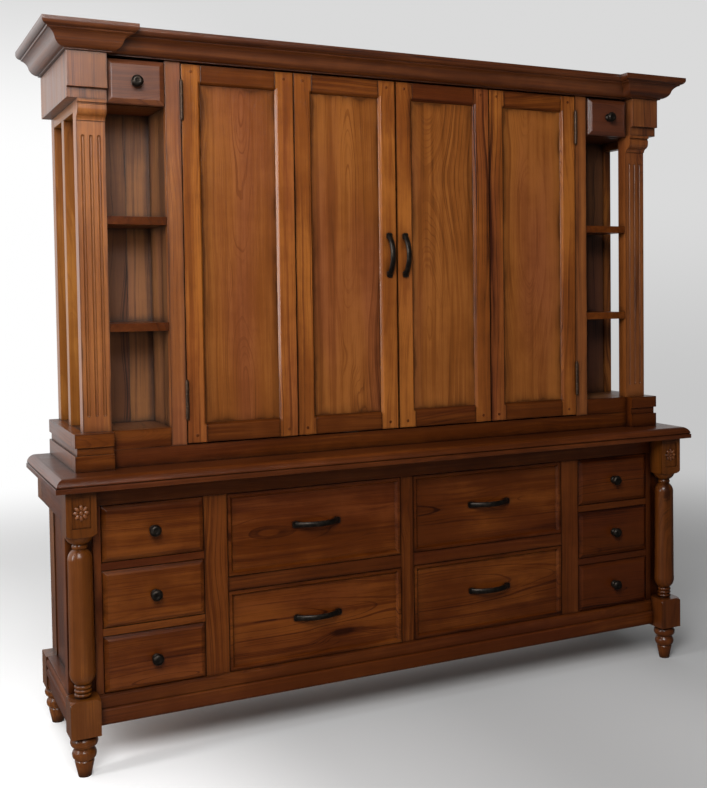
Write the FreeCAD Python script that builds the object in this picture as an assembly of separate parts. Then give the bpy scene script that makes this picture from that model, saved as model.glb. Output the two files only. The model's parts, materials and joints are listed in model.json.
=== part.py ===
import FreeCAD, Part
import math
import os

# TV armoire in two parts: a wide base of drawers on turned posts, and a hutch with two bi-fold
# door pairs over the TV space and an open bay with a small drawer at each end.
# Millimetres. X runs along the front, Y towards the back, Z up. The origin is on the floor under
# the middle of the base top. Depths are measured back from the front lip of the base top.

Vector = FreeCAD.Vector

# ---- overall sizes ----
DEPTH = 521.0                 # front lip of the base top to the back
TOP_HALF = 1000.0             # half the width of the base top
TOP_Z = 773.5                 # upper face of the base top
TOP_THICK = 36.0
UNDER_TOP_Z = TOP_Z - TOP_THICK
CROWN_HALF = 1001.0           # half the width over the crown
CROWN_Z = 1916.0              # top of the crown
CROWN_BASE_Z = 1849.5         # underside of the crown, top of the hutch carcass

# ---- base: turned posts, face frame, sides ----
POST_X = 936.0                # axis of a corner post from the middle
POST_D = 63.5                 # axis of a front post, back from the lip
POST_HALF = 37.5              # half the side of the post's square blocks
REAR_POST_D = DEPTH - POST_HALF
LOWER_BLOCK_Z = (108.0, 204.0)
UPPER_BLOCK_Z = (620.0, UNDER_TOP_Z)
POMMEL = 14.0                 # height over which a block's corners are turned round
PLAQUE = (46.0, 80.0, 3.0)    # recess for the carved rosette: width, height, depth
FRAME_D = 87.0                # front of the base face frame
FRAME_THICK = 22.0
FRAME_BACK_D = FRAME_D + FRAME_THICK
SIDE_FACE_X = 970.0           # outer face of the side rails
SIDE_STILE_X = 966.0
SIDE_PANEL_X = 938.0          # outer face of the recessed side panel
SIDE_PANEL_THICK = 18.0
SIDE_TOP_RAIL_Z = 650.0       # lower edge of the side top rail
SIDE_LEDGE_Z = 203.0          # upper edge of the side bottom rail
SIDE_STILE_BACK_D = 146.0
RAIL_BOTTOM_Z = 116.0         # lower edge of the bottom rails
RAIL_STEP_Z = 157.5           # where the lower step of the bottom rail ends
RAIL_STEP_D = (73.0, 80.5)    # front of the bottom rail: lower step, upper step
BACK_D = (503.0, 515.0)       # base back board

# ---- base drawers ----
GAP = 1.5                     # gap round an inset drawer front
SMALL_X = (610.0, 877.0)      # small drawer fronts
SMALL_ROWS = {"top": (537.5, 683.5), "middle": (365.5, 514.0), "bottom": (194.5, 342.0)}
SMALL_FACE_D = 80.0
SMALL_BEVEL = (12.0, 7.0)     # width and depth of the bevel round a small front
WIDE_X = (22.0, 542.0)        # wide drawer fronts
WIDE_ROWS = {"upper": (457.0, 683.5), "lower": (194.5, 415.5)}
WIDE_RIM = 8.5                # flat rim outside the slope of a wide front
WIDE_STICKING = (6.0, 8.0)    # slope round the recessed panel: width and depth
FRONT_THICK = 24.0
BOX_LENGTH = 380.0            # drawer box behind its front
BOX_WALL = 12.0
BOX_BOTTOM = 8.0
PARTITION = 18.0
RUNNER = (16.0, 34.0)         # height and width of a drawer runner

# ---- hutch ----
DOOR_D = 132.0                # front plane of doors, stiles and pilaster shafts
STILE_THICK = 22.0
STILE_BACK_D = DOOR_D + STILE_THICK
STILE_X = (636.0, 678.0)      # hutch stile between doors and bay
PLINTH_X = (834.5, 935.0)     # plinth block under a pilaster
PLINTH_SIDE_X = 905.0         # inner face of the plinth sides
PLINTH_D = 101.0
PLINTH_TOP_Z = 871.5
PLINTH_GROOVE_Z = (815.0, 835.5)
PLINTH_GROOVE = 6.0
SHAFT_X = (835.0, 908.0)
SHAFT_BACK_D = DOOR_D + 40.0
SHAFT_TOP_Z = 1732.0
CAPITAL_BASE_Z = 1679.5
CAPITAL_D = 103.0             # foremost face of a capital
FLUTE_Z = (911.0, 1643.5)
FLUTE_R = 4.6
FLUTE_PITCH = 20.5
FRIEZE_X = (834.5, 934.5)
FRIEZE_D = 91.0
FRIEZE_BAND_TOP_Z = 1757.0
FRIEZE_BAND_SET_BACK = 13.0
FRIEZE_SIDE_THICK = 54.5
SIDE_INNER_X = 880.0          # inner face of the hutch's open side frames
SIDE_RAIL_Z = 1703.0          # lower edge of the hutch side rail
MID_STILE_D = (315.5, 351.0)
REAR_STILE_D = (476.5, DEPTH)
REAR_STILE_X = 868.0
BAY_BACK_D = (322.0, 338.0)
CARCASS_D = (157.0, 503.0)    # hutch boards behind the doors
DIVIDER_X = (660.0, 678.0)
HUTCH_BACK_D = (503.0, 515.0)
TV_FLOOR_Z = (803.0, 821.0)
BAY_FLOOR_Z = (853.5, PLINTH_TOP_Z)
SHELF_D = 136.0
SHELVES_Z = ((1131.5, 1154.0), (1414.0, 1436.0), (1727.5, 1741.5))
HUTCH_TOP_Z = (CROWN_BASE_Z, 1867.5)
CABLE_HOLE = (30.0, 955.0)    # radius and height of the cable hole in the hutch back

# ---- crown ----
CROWN_FRONT_D = 25.0          # front of the crown over the pilasters
CROWN_MID_D = 62.0            # front of the crown over the doors
CROWN_RETURN_X = 764.0        # where the crown steps forward
CROWN_WALL_D = 157.0
CROWN_SIDE_WALL = 882.0

# ---- hutch drawers ----
HUTCH_DRAWER_X = (681.0, 832.0)
HUTCH_DRAWER_Z = (1727.5, 1843.0)
HUTCH_DRAWER_D = 118.0
HUTCH_BEVEL = (13.0, 7.0)
HUTCH_BOX_LENGTH = 170.0

# ---- doors ----
LEAF_Z = (824.0, 1846.5)
LEAF_THICK = 22.0
LEAF_BACK_D = DOOR_D + LEAF_THICK
FOLD_X = 316.6                # fold line between the two leaves of a pair
FOLD_GAP = 1.5                # half the gap at the fold
MEETING_GAP = 2.2             # half the gap where the pairs meet
LEAF_OUTER_X = 634.0
MEMBER = 53.0                 # width of a leaf's stiles and rails
LEAF_STICKING = (7.0, 8.0)
PANEL_THICK = 8.0
PIVOT_X = 635.0
PIVOT_D = DOOR_D - 5.0
PIN_R = 4.6
FINIAL_R = 4.0                # ball at each end of a frame hinge
HINGE_HALF = 50.0
HINGE_Z = (943.0, 1748.0)
HINGE_PLATE = 0.8
FOLD_D = LEAF_BACK_D + 0.6    # fold pin, just behind the leaves
FOLD_PIN_R = 4.0
FOLD_HALF = 40.0
FOLD_Z = (908.0, 1335.0, 1762.0)
FOLD_PLATE = (27.0, 1.2)

# ---- hardware ----
KNOB_NECK_R = 5.0
KNOB_HEAD_R = 15.5
KNOB_FOOT_R = 12.0
KNOB_REACH = 27.0
PULL_SPAN = 126.0             # between the feet of a drawer pull
HANDLE_SPAN = 112.0           # between the feet of a door handle
PULL_FOOT = (18.0, 17.0, 5.0) # foot of a pull: along it, across it, thick
PULL_FOOT_ROUND = 4.0
PULL_RISE = 28.0
PULL_BAR = (16.0, 9.0)        # section of the bow: across, thick
PULL_ABOVE_CENTRE = 8.0
HANDLE_X = 26.0
HANDLE_Z = 1337.0


def y_at(depth):
    """Y of a depth measured back from the front lip."""
    return depth - DEPTH / 2


def box(x, d, z):
    """Box from pairs of X, depth and Z limits."""
    corner = Vector(x[0], y_at(d[0]), z[0])
    return Part.makeBox(x[1] - x[0], d[1] - d[0], z[1] - z[0], corner)


def mirrored(shape):
    return shape.mirror(Vector(0, 0, 0), Vector(1, 0, 0))


def on_side(shape, side):
    """The shape built on the +X side, or its mirror image for the left."""
    return shape if side == "right" else mirrored(shape)


def pair(shapes):
    """Shapes on the right with their mirror images on the left."""
    return list(shapes) + [mirrored(shape) for shape in shapes]


def export(name, shapes):
    solids = [solid for shape in shapes for solid in shape.Solids]
    Part.makeCompound(solids).exportStep("parts/%s.step" % name)


def edges_of(outline, place):
    """Edges along ("line", end) and ("arc", middle, end) steps, each point placed in space."""
    edges = []
    at = outline[0]
    for step in outline[1:]:
        points = [place(point) for point in (at,) + step[1:]]
        if step[0] == "arc":
            edges.append(Part.Arc(*points).toShape())
        else:
            edges.append(Part.LineSegment(*points).toShape())
        at = step[-1]
    return edges


def face_of(outline, corners, place):
    """Face bounded by an outline and the straight way back past the corners."""
    closing = [("line", corner) for corner in corners] + [("line", outline[0])]
    return Part.Face(Part.Wire(edges_of(outline + closing, place)))


def mould_x(outline, x, d_front, d_back):
    """Moulding along X; its (offset, z) outline says how far the front steps back."""
    deep = d_back - d_front
    corners = [(deep, outline[-1][-1][1]), (deep, outline[0][1])]
    face = face_of(outline, corners, lambda p: Vector(x[0], y_at(d_front + p[0]), p[1]))
    return face.extrude(Vector(x[1] - x[0], 0, 0))


def mould_y(outline, x_face, x_back, d):
    """Moulding along Y; its (offset, z) outline says how far the side at x_face steps in."""
    way = 1 if x_back > x_face else -1
    wide = abs(x_back - x_face)
    corners = [(wide, outline[-1][-1][1]), (wide, outline[0][1])]
    face = face_of(outline, corners, lambda p: Vector(x_face + way * p[0], y_at(d[0]), p[1]))
    return face.extrude(Vector(0, d[1] - d[0], 0))


def turned(outline, x, depth):
    """Solid of revolution about a vertical axis from a (radius, z) outline."""
    corners = [(0.0, outline[-1][-1][1]), (0.0, outline[0][1])]
    face = face_of(outline, corners, lambda p: Vector(p[0], 0, p[1]))
    solid = face.revolve(Vector(0, 0, 0), Vector(0, 0, 1), 360)
    solid.translate(Vector(x, y_at(depth), 0))
    return solid


# ---- turned work ----
FOOT_OUTLINE = [
    (16.0, 0.0),
    ("line", (24.5, 40.0)),
    ("line", (22.5, 43.5)),
    ("arc", (30.5, 58.0), (25.0, 72.0)),
    ("line", (25.0, 75.5)),
    ("arc", (34.5, 90.0), (28.0, 103.0)),
    ("line", (27.0, 112.0)),
]
COLUMN_OUTLINE = [
    (18.0, 196.0),
    ("line", (18.0, 205.0)),
    ("arc", (21.5, 210.5), (18.0, 216.0)),
    ("arc", (21.5, 221.5), (18.0, 227.0)),
    ("arc", (21.5, 232.5), (18.0, 238.0)),
    ("arc", (28.0, 250.0), (32.0, 276.0)),
    ("line", (30.5, 553.5)),
    ("arc", (27.0, 573.5), (17.0, 585.5)),
    ("arc", (19.5, 592.0), (17.0, 598.5)),
    ("arc", (29.0, 607.0), (36.0, 622.5)),
    ("line", (36.0, 629.0)),
]


def turned_block(z, ends, x, depth):
    """Square block whose corners are turned round at the named ends."""
    block = Part.makeBox(2 * POST_HALF, 2 * POST_HALF, z[1] - z[0],
                         Vector(x - POST_HALF, y_at(depth) - POST_HALF, z[0]))
    corner = POST_HALF * math.sqrt(2) + 1
    low, high = z
    shoulder = corner - 4
    if "low" in ends:
        outline = [(POST_HALF, low), ("arc", (shoulder, low + POMMEL / 3), (corner, low + POMMEL)),
                   ("line", (corner, high))]
    else:
        outline = [(corner, low), ("line", (corner, high - POMMEL)),
                   ("arc", (shoulder, high - POMMEL / 3), (POST_HALF, high))]
    return block.common(turned(outline, x, depth))


def rosette(x):
    """Recessed plaque on a post block, and the carved flower that stands in it."""
    width, height, deep = PLAQUE
    middle_z = (UPPER_BLOCK_Z[0] + UPPER_BLOCK_Z[1]) / 2 + 4
    face_d = POST_D - POST_HALF
    plaque = box((x - width / 2, x + width / 2), (face_d - 1, face_d + deep),
                 (middle_z - height / 2, middle_z + height / 2))
    centre = Vector(x, y_at(face_d + deep), middle_z)
    forward = Vector(0, -1, 0)
    flower = Part.makeCylinder(7, deep, centre, forward)
    petals = 8
    for i in range(petals):
        turn = 2 * math.pi * i / petals
        spot = centre + Vector(13 * math.cos(turn), 0, 13 * math.sin(turn))
        flower = flower.fuse(Part.makeCylinder(5.5, deep - 0.8, spot, forward))
    return plaque, flower


def front_post(x):
    post = turned_block(UPPER_BLOCK_Z, ("low",), x, POST_D)
    post = post.fuse(turned_block(LOWER_BLOCK_Z, ("high",), x, POST_D))
    post = post.fuse(turned(FOOT_OUTLINE, x, POST_D))
    post = post.fuse(turned(COLUMN_OUTLINE, x, POST_D))
    plaque, flower = rosette(x)
    return post.cut(plaque).fuse(flower).removeSplitter()


def rear_post(x):
    """Square blocks over and under a plain post that lines up with the recessed side."""
    inner, outer = x - POST_HALF, SIDE_FACE_X
    deep = (REAR_POST_D - POST_HALF, DEPTH)
    plain = box((inner, SIDE_PANEL_X + 3), deep, (LOWER_BLOCK_Z[0], UNDER_TOP_Z))
    blocks = [box((inner, outer), deep, z) for z in
              ((SIDE_TOP_RAIL_Z, UNDER_TOP_Z), (LOWER_BLOCK_Z[0], SIDE_LEDGE_Z))]
    return plain.fuse(blocks).fuse(turned(FOOT_OUTLINE, x, REAR_POST_D)).removeSplitter()


# ---- base carcass ----
TOP_EDGE = [
    (0.0, UNDER_TOP_Z),
    ("line", (0.0, UNDER_TOP_Z + 13)),
    ("line", (3.5, UNDER_TOP_Z + 14)),
    ("line", (1.5, UNDER_TOP_Z + 17)),
    ("arc", (8.5, TOP_Z - 6.5), (25.0, TOP_Z)),
]


def base_top():
    slab = mould_x(TOP_EDGE, (-TOP_HALF, TOP_HALF), 0, DEPTH)
    right = mould_y(TOP_EDGE, TOP_HALF, -TOP_HALF - 1, (0, DEPTH))
    return slab.common(right).common(mirrored(right))


def rail_opening(row):
    return row[0] - GAP, row[1] + GAP


def face_frame():
    depth = (FRAME_D, FRAME_BACK_D)
    small = [rail_opening(row) for row in SMALL_ROWS.values()]
    wide = [rail_opening(row) for row in WIDE_ROWS.values()]
    open_low, open_high = small[-1][0], small[0][1]
    small_x = (SMALL_X[0] - GAP, SMALL_X[1] + GAP)
    wide_x = (WIDE_X[0] - GAP, WIDE_X[1] + GAP)
    post_x, post_back_d = POST_X - POST_HALF, POST_D + POST_HALF
    right = [box((small_x[1], post_x), depth, (open_low, open_high)),
             box((post_x, SIDE_PANEL_X), (post_back_d, FRAME_BACK_D + 14), (RAIL_BOTTOM_Z, UNDER_TOP_Z)),
             box((wide_x[1], small_x[0]), depth, (open_low, open_high)),
             box(wide_x, depth, (wide[1][1], wide[0][0]))]
    for above, below in zip(small, small[1:]):
        right.append(box(small_x, depth, (below[1], above[0])))
    pieces = pair(right)
    pieces.append(box((-wide_x[0], wide_x[0]), depth, (open_low, open_high)))
    pieces.append(box((-post_x, post_x), depth, (open_high, UNDER_TOP_Z)))
    low_step, high_step = RAIL_STEP_D
    step, ledge = high_step - low_step, open_low - 6
    profile = [(0.0, RAIL_BOTTOM_Z), ("line", (0.0, RAIL_STEP_Z - 4)), ("line", (4.0, RAIL_STEP_Z)),
               ("line", (step, RAIL_STEP_Z)), ("line", (step, ledge)),
               ("line", (FRAME_D - low_step, open_low))]
    pieces.append(mould_x(profile, (-post_x, post_x), low_step, FRAME_BACK_D))
    return pieces


def base_sides():
    """Side top rail, front stile, and bottom rail moulded with two beads under its ledge."""
    post_back_d = POST_D + POST_HALF
    between = (post_back_d, REAR_POST_D - POST_HALF)
    top_rail = box((SIDE_PANEL_X, SIDE_FACE_X), between, (SIDE_TOP_RAIL_Z, UNDER_TOP_Z))
    stile = box((SIDE_PANEL_X, SIDE_STILE_X), (post_back_d, SIDE_STILE_BACK_D),
                (SIDE_LEDGE_Z, SIDE_TOP_RAIL_Z))
    bead = 4.0
    beads_z = (RAIL_BOTTOM_Z + 28, RAIL_BOTTOM_Z + 55, RAIL_BOTTOM_Z + 82)
    outline = [(bead, RAIL_BOTTOM_Z), ("line", (bead, beads_z[0]))]
    for low, high in zip(beads_z, beads_z[1:]):
        outline.append(("arc", (0.0, (low + high) / 2), (bead, high)))
    outline.append(("line", (bead, SIDE_LEDGE_Z)))
    bottom_rail = mould_y(outline, SIDE_FACE_X, SIDE_PANEL_X, between)
    return pair([top_rail, stile, bottom_rail])


def base_partitions():
    floor_z = (136.0, 154.0)
    z = (floor_z[1], UNDER_TOP_Z)
    depth = (FRAME_BACK_D, BACK_D[0])
    middle = (WIDE_X[1] + SMALL_X[0]) / 2
    pieces = pair([box((middle - PARTITION / 2, middle + PARTITION / 2), depth, z)])
    pieces.append(box((-PARTITION / 2, PARTITION / 2), depth, z))
    inner = POST_X - POST_HALF
    pieces.append(box((-inner, inner), depth, floor_z))
    return pieces


def drawer_runners():
    """Strips under the drawer boxes, fixed to the partitions and to the side panels."""
    height, width = RUNNER
    depth = (FRAME_BACK_D, REAR_POST_D - POST_HALF)
    middle = (WIDE_X[1] + SMALL_X[0]) / 2
    partition = PARTITION / 2
    panel_inner = SIDE_PANEL_X - SIDE_PANEL_THICK
    right = []
    for row in SMALL_ROWS.values():
        z = (row[0] - GAP - height, row[0] - GAP)
        right.append(box((middle + partition, middle + partition + width), depth, z))
        right.append(box((SMALL_X[1] - 14, POST_X - POST_HALF), depth, z))
    for row in WIDE_ROWS.values():
        z = (row[0] - GAP - height, row[0] - GAP)
        right.append(box((middle - partition - width, middle - partition), depth, z))
        right.append(box((partition, partition + width), depth, z))
    guide_z = (SHELVES_Z[2][1], SHELVES_Z[2][1] + 15)
    right.append(box((HUTCH_DRAWER_X[1] + 2, SIDE_INNER_X), (SHAFT_BACK_D + 9, MID_STILE_D[0]), guide_z))
    return pair(right)


# ---- hutch carcass ----
def hutch_plinth():
    low, high = PLINTH_GROOVE_Z
    outline = [(0.0, TOP_Z), ("line", (0.0, low)), ("line", (PLINTH_GROOVE, low)),
               ("line", (PLINTH_GROOVE, high)), ("line", (0.0, high)), ("line", (0.0, PLINTH_TOP_Z))]
    inner, outer = PLINTH_X
    block = mould_x(outline, PLINTH_X, PLINTH_D, STILE_BACK_D)
    block = block.common(mould_y(outline, outer, inner, (PLINTH_D, STILE_BACK_D)))
    side = mould_y(outline, outer, PLINTH_SIDE_X, (STILE_BACK_D, DEPTH))
    front_d = (DOOR_D, STILE_BACK_D)
    bay_rail = box((STILE_X[1], inner), front_d, (TV_FLOOR_Z[1], PLINTH_TOP_Z))
    pieces = pair([block, side, bay_rail])
    pieces.append(box((-inner, inner), front_d, (TOP_Z, TV_FLOOR_Z[1])))
    pieces.append(box((-PLINTH_SIDE_X, PLINTH_SIDE_X), (HUTCH_BACK_D[1], DEPTH), (TOP_Z, PLINTH_TOP_Z)))
    return pieces


def hutch_floor():
    bay = box((DIVIDER_X[1], PLINTH_SIDE_X), (STILE_BACK_D, CARCASS_D[1]), BAY_FLOOR_Z)
    tv = box((-DIVIDER_X[0], DIVIDER_X[0]), CARCASS_D, TV_FLOOR_Z)
    return pair([bay]) + [tv]


def hutch_uprights():
    stile = box(STILE_X, (DOOR_D, STILE_BACK_D), (TV_FLOOR_Z[1], CROWN_BASE_Z))
    divider = box(DIVIDER_X, (STILE_BACK_D, CARCASS_D[1]), (TOP_Z, CROWN_BASE_Z))
    return pair([stile, divider])


CAPITAL_OUTLINE = [
    (25.0, CAPITAL_BASE_Z),
    ("line", (25.0, CAPITAL_BASE_Z + 3)),
    ("arc", (21.0, CAPITAL_BASE_Z + 9), (13.0, CAPITAL_BASE_Z + 13)),
    ("arc", (5.0, CAPITAL_BASE_Z + 20), (3.0, CAPITAL_BASE_Z + 31)),
    ("line", (3.0, CAPITAL_BASE_Z + 38)),
    ("line", (6.0, CAPITAL_BASE_Z + 40)),
    ("line", (6.0, CAPITAL_BASE_Z + 43)),
    ("line", (0.0, CAPITAL_BASE_Z + 44)),
    ("line", (0.0, SHAFT_TOP_Z)),
]


def pilaster():
    """Fluted shaft whose capital swells forward only, with flush sides."""
    shaft = box(SHAFT_X, (DOOR_D, SHAFT_BACK_D), (PLINTH_TOP_Z, SHAFT_TOP_Z))
    middle = (SHAFT_X[0] + SHAFT_X[1]) / 2
    low, high = FLUTE_Z[0] + FLUTE_R, FLUTE_Z[1] - FLUTE_R
    for i in (-1, 0, 1):
        start = Vector(middle + i * FLUTE_PITCH, y_at(DOOR_D), low)
        end = start + Vector(0, 0, high - low)
        flute = Part.makeCylinder(FLUTE_R, high - low, start)
        shaft = shaft.cut([flute, Part.makeSphere(FLUTE_R, start), Part.makeSphere(FLUTE_R, end)])
    capital = mould_x(CAPITAL_OUTLINE, SHAFT_X, CAPITAL_D, DOOR_D)
    return shaft.fuse(capital).removeSplitter()


def frieze():
    """Frieze block over the pilaster, and the side board behind it, with their lower band."""
    deep = (FRIEZE_D, SHAFT_BACK_D)
    upper = box(FRIEZE_X, deep, (FRIEZE_BAND_TOP_Z + 2, CROWN_BASE_Z))
    band = box(FRIEZE_X, (deep[0] + FRIEZE_BAND_SET_BACK, deep[1]), (SHAFT_TOP_Z, FRIEZE_BAND_TOP_Z + 2))
    side = box((FRIEZE_X[1] - FRIEZE_SIDE_THICK, FRIEZE_X[1]), (deep[1], DEPTH),
               (SHAFT_TOP_Z, CROWN_BASE_Z))
    return [upper.fuse(band).removeSplitter(), side]


CROWN_EDGE = [
    (66.0, CROWN_BASE_Z),
    ("line", (59.0, CROWN_BASE_Z)),
    ("line", (59.0, CROWN_BASE_Z + 3)),
    ("arc", (43.0, CROWN_BASE_Z + 9), (34.0, CROWN_BASE_Z + 23)),
    ("arc", (26.0, CROWN_BASE_Z + 36), (14.0, CROWN_BASE_Z + 42.5)),
    ("line", (13.0, CROWN_BASE_Z + 45.5)),
    ("arc", (4.0, CROWN_BASE_Z + 49.5), (0.0, CROWN_BASE_Z + 58)),
    ("line", (0.0, CROWN_Z)),
]


def crown():
    """Mitred crown: set back over the doors, forward over each pilaster, returned on the sides."""
    beyond = CROWN_HALF + 1
    middle = mould_x(CROWN_EDGE, (-CROWN_HALF, CROWN_HALF), CROWN_MID_D, DEPTH)
    right = mould_y(CROWN_EDGE, CROWN_HALF, -beyond, (CROWN_MID_D, DEPTH))
    middle = middle.common(right).common(mirrored(right))
    depth = (CROWN_FRONT_D, CROWN_WALL_D)
    forward = mould_x(CROWN_EDGE, (CROWN_RETURN_X, CROWN_HALF), *depth)
    forward = forward.common(mould_y(CROWN_EDGE, CROWN_HALF, 0, depth))
    forward = forward.common(mould_y(CROWN_EDGE, CROWN_RETURN_X, beyond, depth))
    hollow = box((-CROWN_SIDE_WALL, CROWN_SIDE_WALL), (CROWN_WALL_D, DEPTH + 1),
                 (CROWN_BASE_Z - 1, CROWN_Z + 1))
    return middle.fuse([forward, mirrored(forward)]).cut(hollow).removeSplitter()


def hutch_side():
    """Open side of an end bay: rear stile, middle stile and top rail."""
    rear = box((REAR_STILE_X, SHAFT_X[1]), REAR_STILE_D, (PLINTH_TOP_Z, SHAFT_TOP_Z))
    middle = box((SIDE_INNER_X, SHAFT_X[1]), MID_STILE_D, (PLINTH_TOP_Z, SIDE_RAIL_Z))
    rail = box((SIDE_INNER_X, SHAFT_X[1]), (SHAFT_BACK_D, REAR_STILE_D[0]),
               (SIDE_RAIL_Z, SHAFT_TOP_Z))
    return pair([rear, middle, rail])


def bay_shelves():
    """Two shelves and the floor of the drawer space, from the divider to the pilaster."""
    outer = (SHAFT_X[0], SHAFT_X[0], SIDE_INNER_X)
    depths = ((SHELF_D, BAY_BACK_D[0]), (SHELF_D, BAY_BACK_D[0]), (STILE_BACK_D, BAY_BACK_D[0]))
    boards = [box((DIVIDER_X[1], x), d, z) for x, d, z in zip(outer, depths, SHELVES_Z)]
    corner = (FRIEZE_X[0], SIDE_INNER_X)
    boards[2] = boards[2].cut(box(corner, (DOOR_D, SHAFT_BACK_D), SHELVES_Z[2]))
    return pair(boards)


def hutch_back():
    board = box((-REAR_STILE_X, REAR_STILE_X), HUTCH_BACK_D, (TOP_Z, CROWN_BASE_Z))
    radius, height = CABLE_HOLE
    hole = Part.makeCylinder(radius, 40, Vector(0, y_at(HUTCH_BACK_D[0]) - 10, height),
                             Vector(0, 1, 0))
    return board.cut(hole)


# ---- drawers ----
def bevelled_front(x, d, z, bevel):
    """Board with a bevel round its face."""
    wide, deep = bevel
    rims = [(x, z, d[0] + deep), ((x[0] + wide, x[1] - wide), (z[0] + wide, z[1] - wide), d[0])]
    wires = []
    for rim_x, rim_z, depth in rims:
        corners = [Vector(rim_x[i], y_at(depth), rim_z[k]) for i, k in
                   ((0, 0), (1, 0), (1, 1), (0, 1), (0, 0))]
        wires.append(Part.makePolygon(corners))
    return Part.makeLoft(wires, True, True).fuse(box(x, (d[0] + deep, d[1]), z)).removeSplitter()


def sunk(x, d_face, z, slope):
    """Space of a recess whose sides slope in from the face."""
    wide, deep = slope
    over = 1.0
    spread = wide * over / deep
    rims = [(-spread, d_face - over), (wide, d_face + deep)]
    wires = []
    for inset, depth in rims:
        corners = [Vector(px, y_at(depth), pz) for px, pz in
                   ((x[0] + inset, z[0] + inset), (x[1] - inset, z[0] + inset),
                    (x[1] - inset, z[1] - inset), (x[0] + inset, z[1] - inset),
                    (x[0] + inset, z[0] + inset))]
        wires.append(Part.makePolygon(corners))
    return Part.makeLoft(wires, True, True)


def drawer_box(x, z, d_start, length):
    """Sides, back and bottom of a drawer as separate boards."""
    end = d_start + length
    sides = [box((x[0], x[0] + BOX_WALL), (d_start, end), z),
             box((x[1] - BOX_WALL, x[1]), (d_start, end), z)]
    inside = (x[0] + BOX_WALL, x[1] - BOX_WALL)
    back = box(inside, (end - BOX_WALL, end), (z[0] + 6 + BOX_BOTTOM, z[1]))
    bottom = box(inside, (d_start, end), (z[0] + 6, z[0] + 6 + BOX_BOTTOM))
    return sides + [back, bottom]


def small_drawer(z):
    face = (SMALL_FACE_D, SMALL_FACE_D + FRONT_THICK)
    front = bevelled_front(SMALL_X, face, z, SMALL_BEVEL)
    boards = drawer_box((SMALL_X[0] + 3, SMALL_X[1] - 3), (z[0] - 0.5, z[1] - 14), face[1], BOX_LENGTH)
    return [front] + boards


def wide_drawer(z):
    face = (FRAME_D, FRAME_D + FRONT_THICK)
    rim_x = (WIDE_X[0] + WIDE_RIM, WIDE_X[1] - WIDE_RIM)
    rim_z = (z[0] + WIDE_RIM, z[1] - WIDE_RIM)
    front = box(WIDE_X, face, z).cut(sunk(rim_x, face[0], rim_z, WIDE_STICKING))
    boards = drawer_box((WIDE_X[0] + 3, WIDE_X[1] - 3), (z[0] - 0.5, z[1] - 20), face[1], BOX_LENGTH)
    return [front] + boards


def hutch_drawer():
    face = (HUTCH_DRAWER_D, HUTCH_DRAWER_D + FRONT_THICK)
    front = bevelled_front(HUTCH_DRAWER_X, face, HUTCH_DRAWER_Z, HUTCH_BEVEL)
    z = (SHELVES_Z[2][1] + 1.0, HUTCH_DRAWER_Z[1] - 14)
    x = (HUTCH_DRAWER_X[0] + 2, HUTCH_DRAWER_X[1] - 2)
    return [front] + drawer_box(x, z, face[1], HUTCH_BOX_LENGTH)


# ---- doors ----
def leaf_frame(x):
    """Two stiles and two rails with a sloped inner edge, as separate boards."""
    face = (DOOR_D, DOOR_D + LEAF_THICK)
    inside_x = (x[0] + MEMBER, x[1] - MEMBER)
    inside_z = (LEAF_Z[0] + MEMBER, LEAF_Z[1] - MEMBER)
    slope_x = (inside_x[0] - LEAF_STICKING[0], inside_x[1] + LEAF_STICKING[0])
    slope_z = (inside_z[0] - LEAF_STICKING[0], inside_z[1] + LEAF_STICKING[0])
    whole = box(x, face, LEAF_Z).cut(box(inside_x, (face[0] - 1, face[1] + 1), inside_z))
    whole = whole.cut(sunk(slope_x, face[0], slope_z, LEAF_STICKING))
    members = [box((x[0], inside_x[0]), face, LEAF_Z), box((inside_x[1], x[1]), face, LEAF_Z),
               box(inside_x, face, (LEAF_Z[0], inside_z[0])),
               box(inside_x, face, (inside_z[1], LEAF_Z[1]))]
    for z in FOLD_Z:
        hinge_z = (z - FOLD_HALF - 1, z + FOLD_HALF + 1)
        notch, reach = FOLD_PIN_R + 1, FOLD_PLATE[0] + 4
        for half, front_d in ((notch, FOLD_D - notch), (reach, face[1] - FOLD_PLATE[1])):
            whole = whole.cut(box((FOLD_X - half, FOLD_X + half), (front_d, face[1] + 1), hinge_z))
    return [whole.common(member) for member in members]


def leaf_panel(x):
    back = DOOR_D + LEAF_STICKING[1] + PANEL_THICK
    return box((x[0] + MEMBER, x[1] - MEMBER), (back - PANEL_THICK, back),
               (LEAF_Z[0] + MEMBER, LEAF_Z[1] - MEMBER))


def barrel(x, depth, z, radius):
    return Part.makeCylinder(radius, z[1] - z[0], Vector(x, y_at(depth), z[0]))


def fold_hinges(side_of_fold):
    """Knuckle and let-in plate of each fold hinge: the outer leaf has the lower half."""
    pieces = []
    wide, thick = FOLD_PLATE
    for middle in FOLD_Z:
        if side_of_fold > 0:
            z = (middle - FOLD_HALF, middle - 0.3)
        else:
            z = (middle + 0.3, middle + FOLD_HALF)
        plate_x = sorted((FOLD_X + side_of_fold * 2.0, FOLD_X + side_of_fold * (2.0 + wide)))
        plate = box(plate_x, (LEAF_BACK_D - thick, LEAF_BACK_D), z)
        pieces.append(barrel(FOLD_X, FOLD_D, z, FOLD_PIN_R).fuse(plate).removeSplitter())
    return pieces


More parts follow.
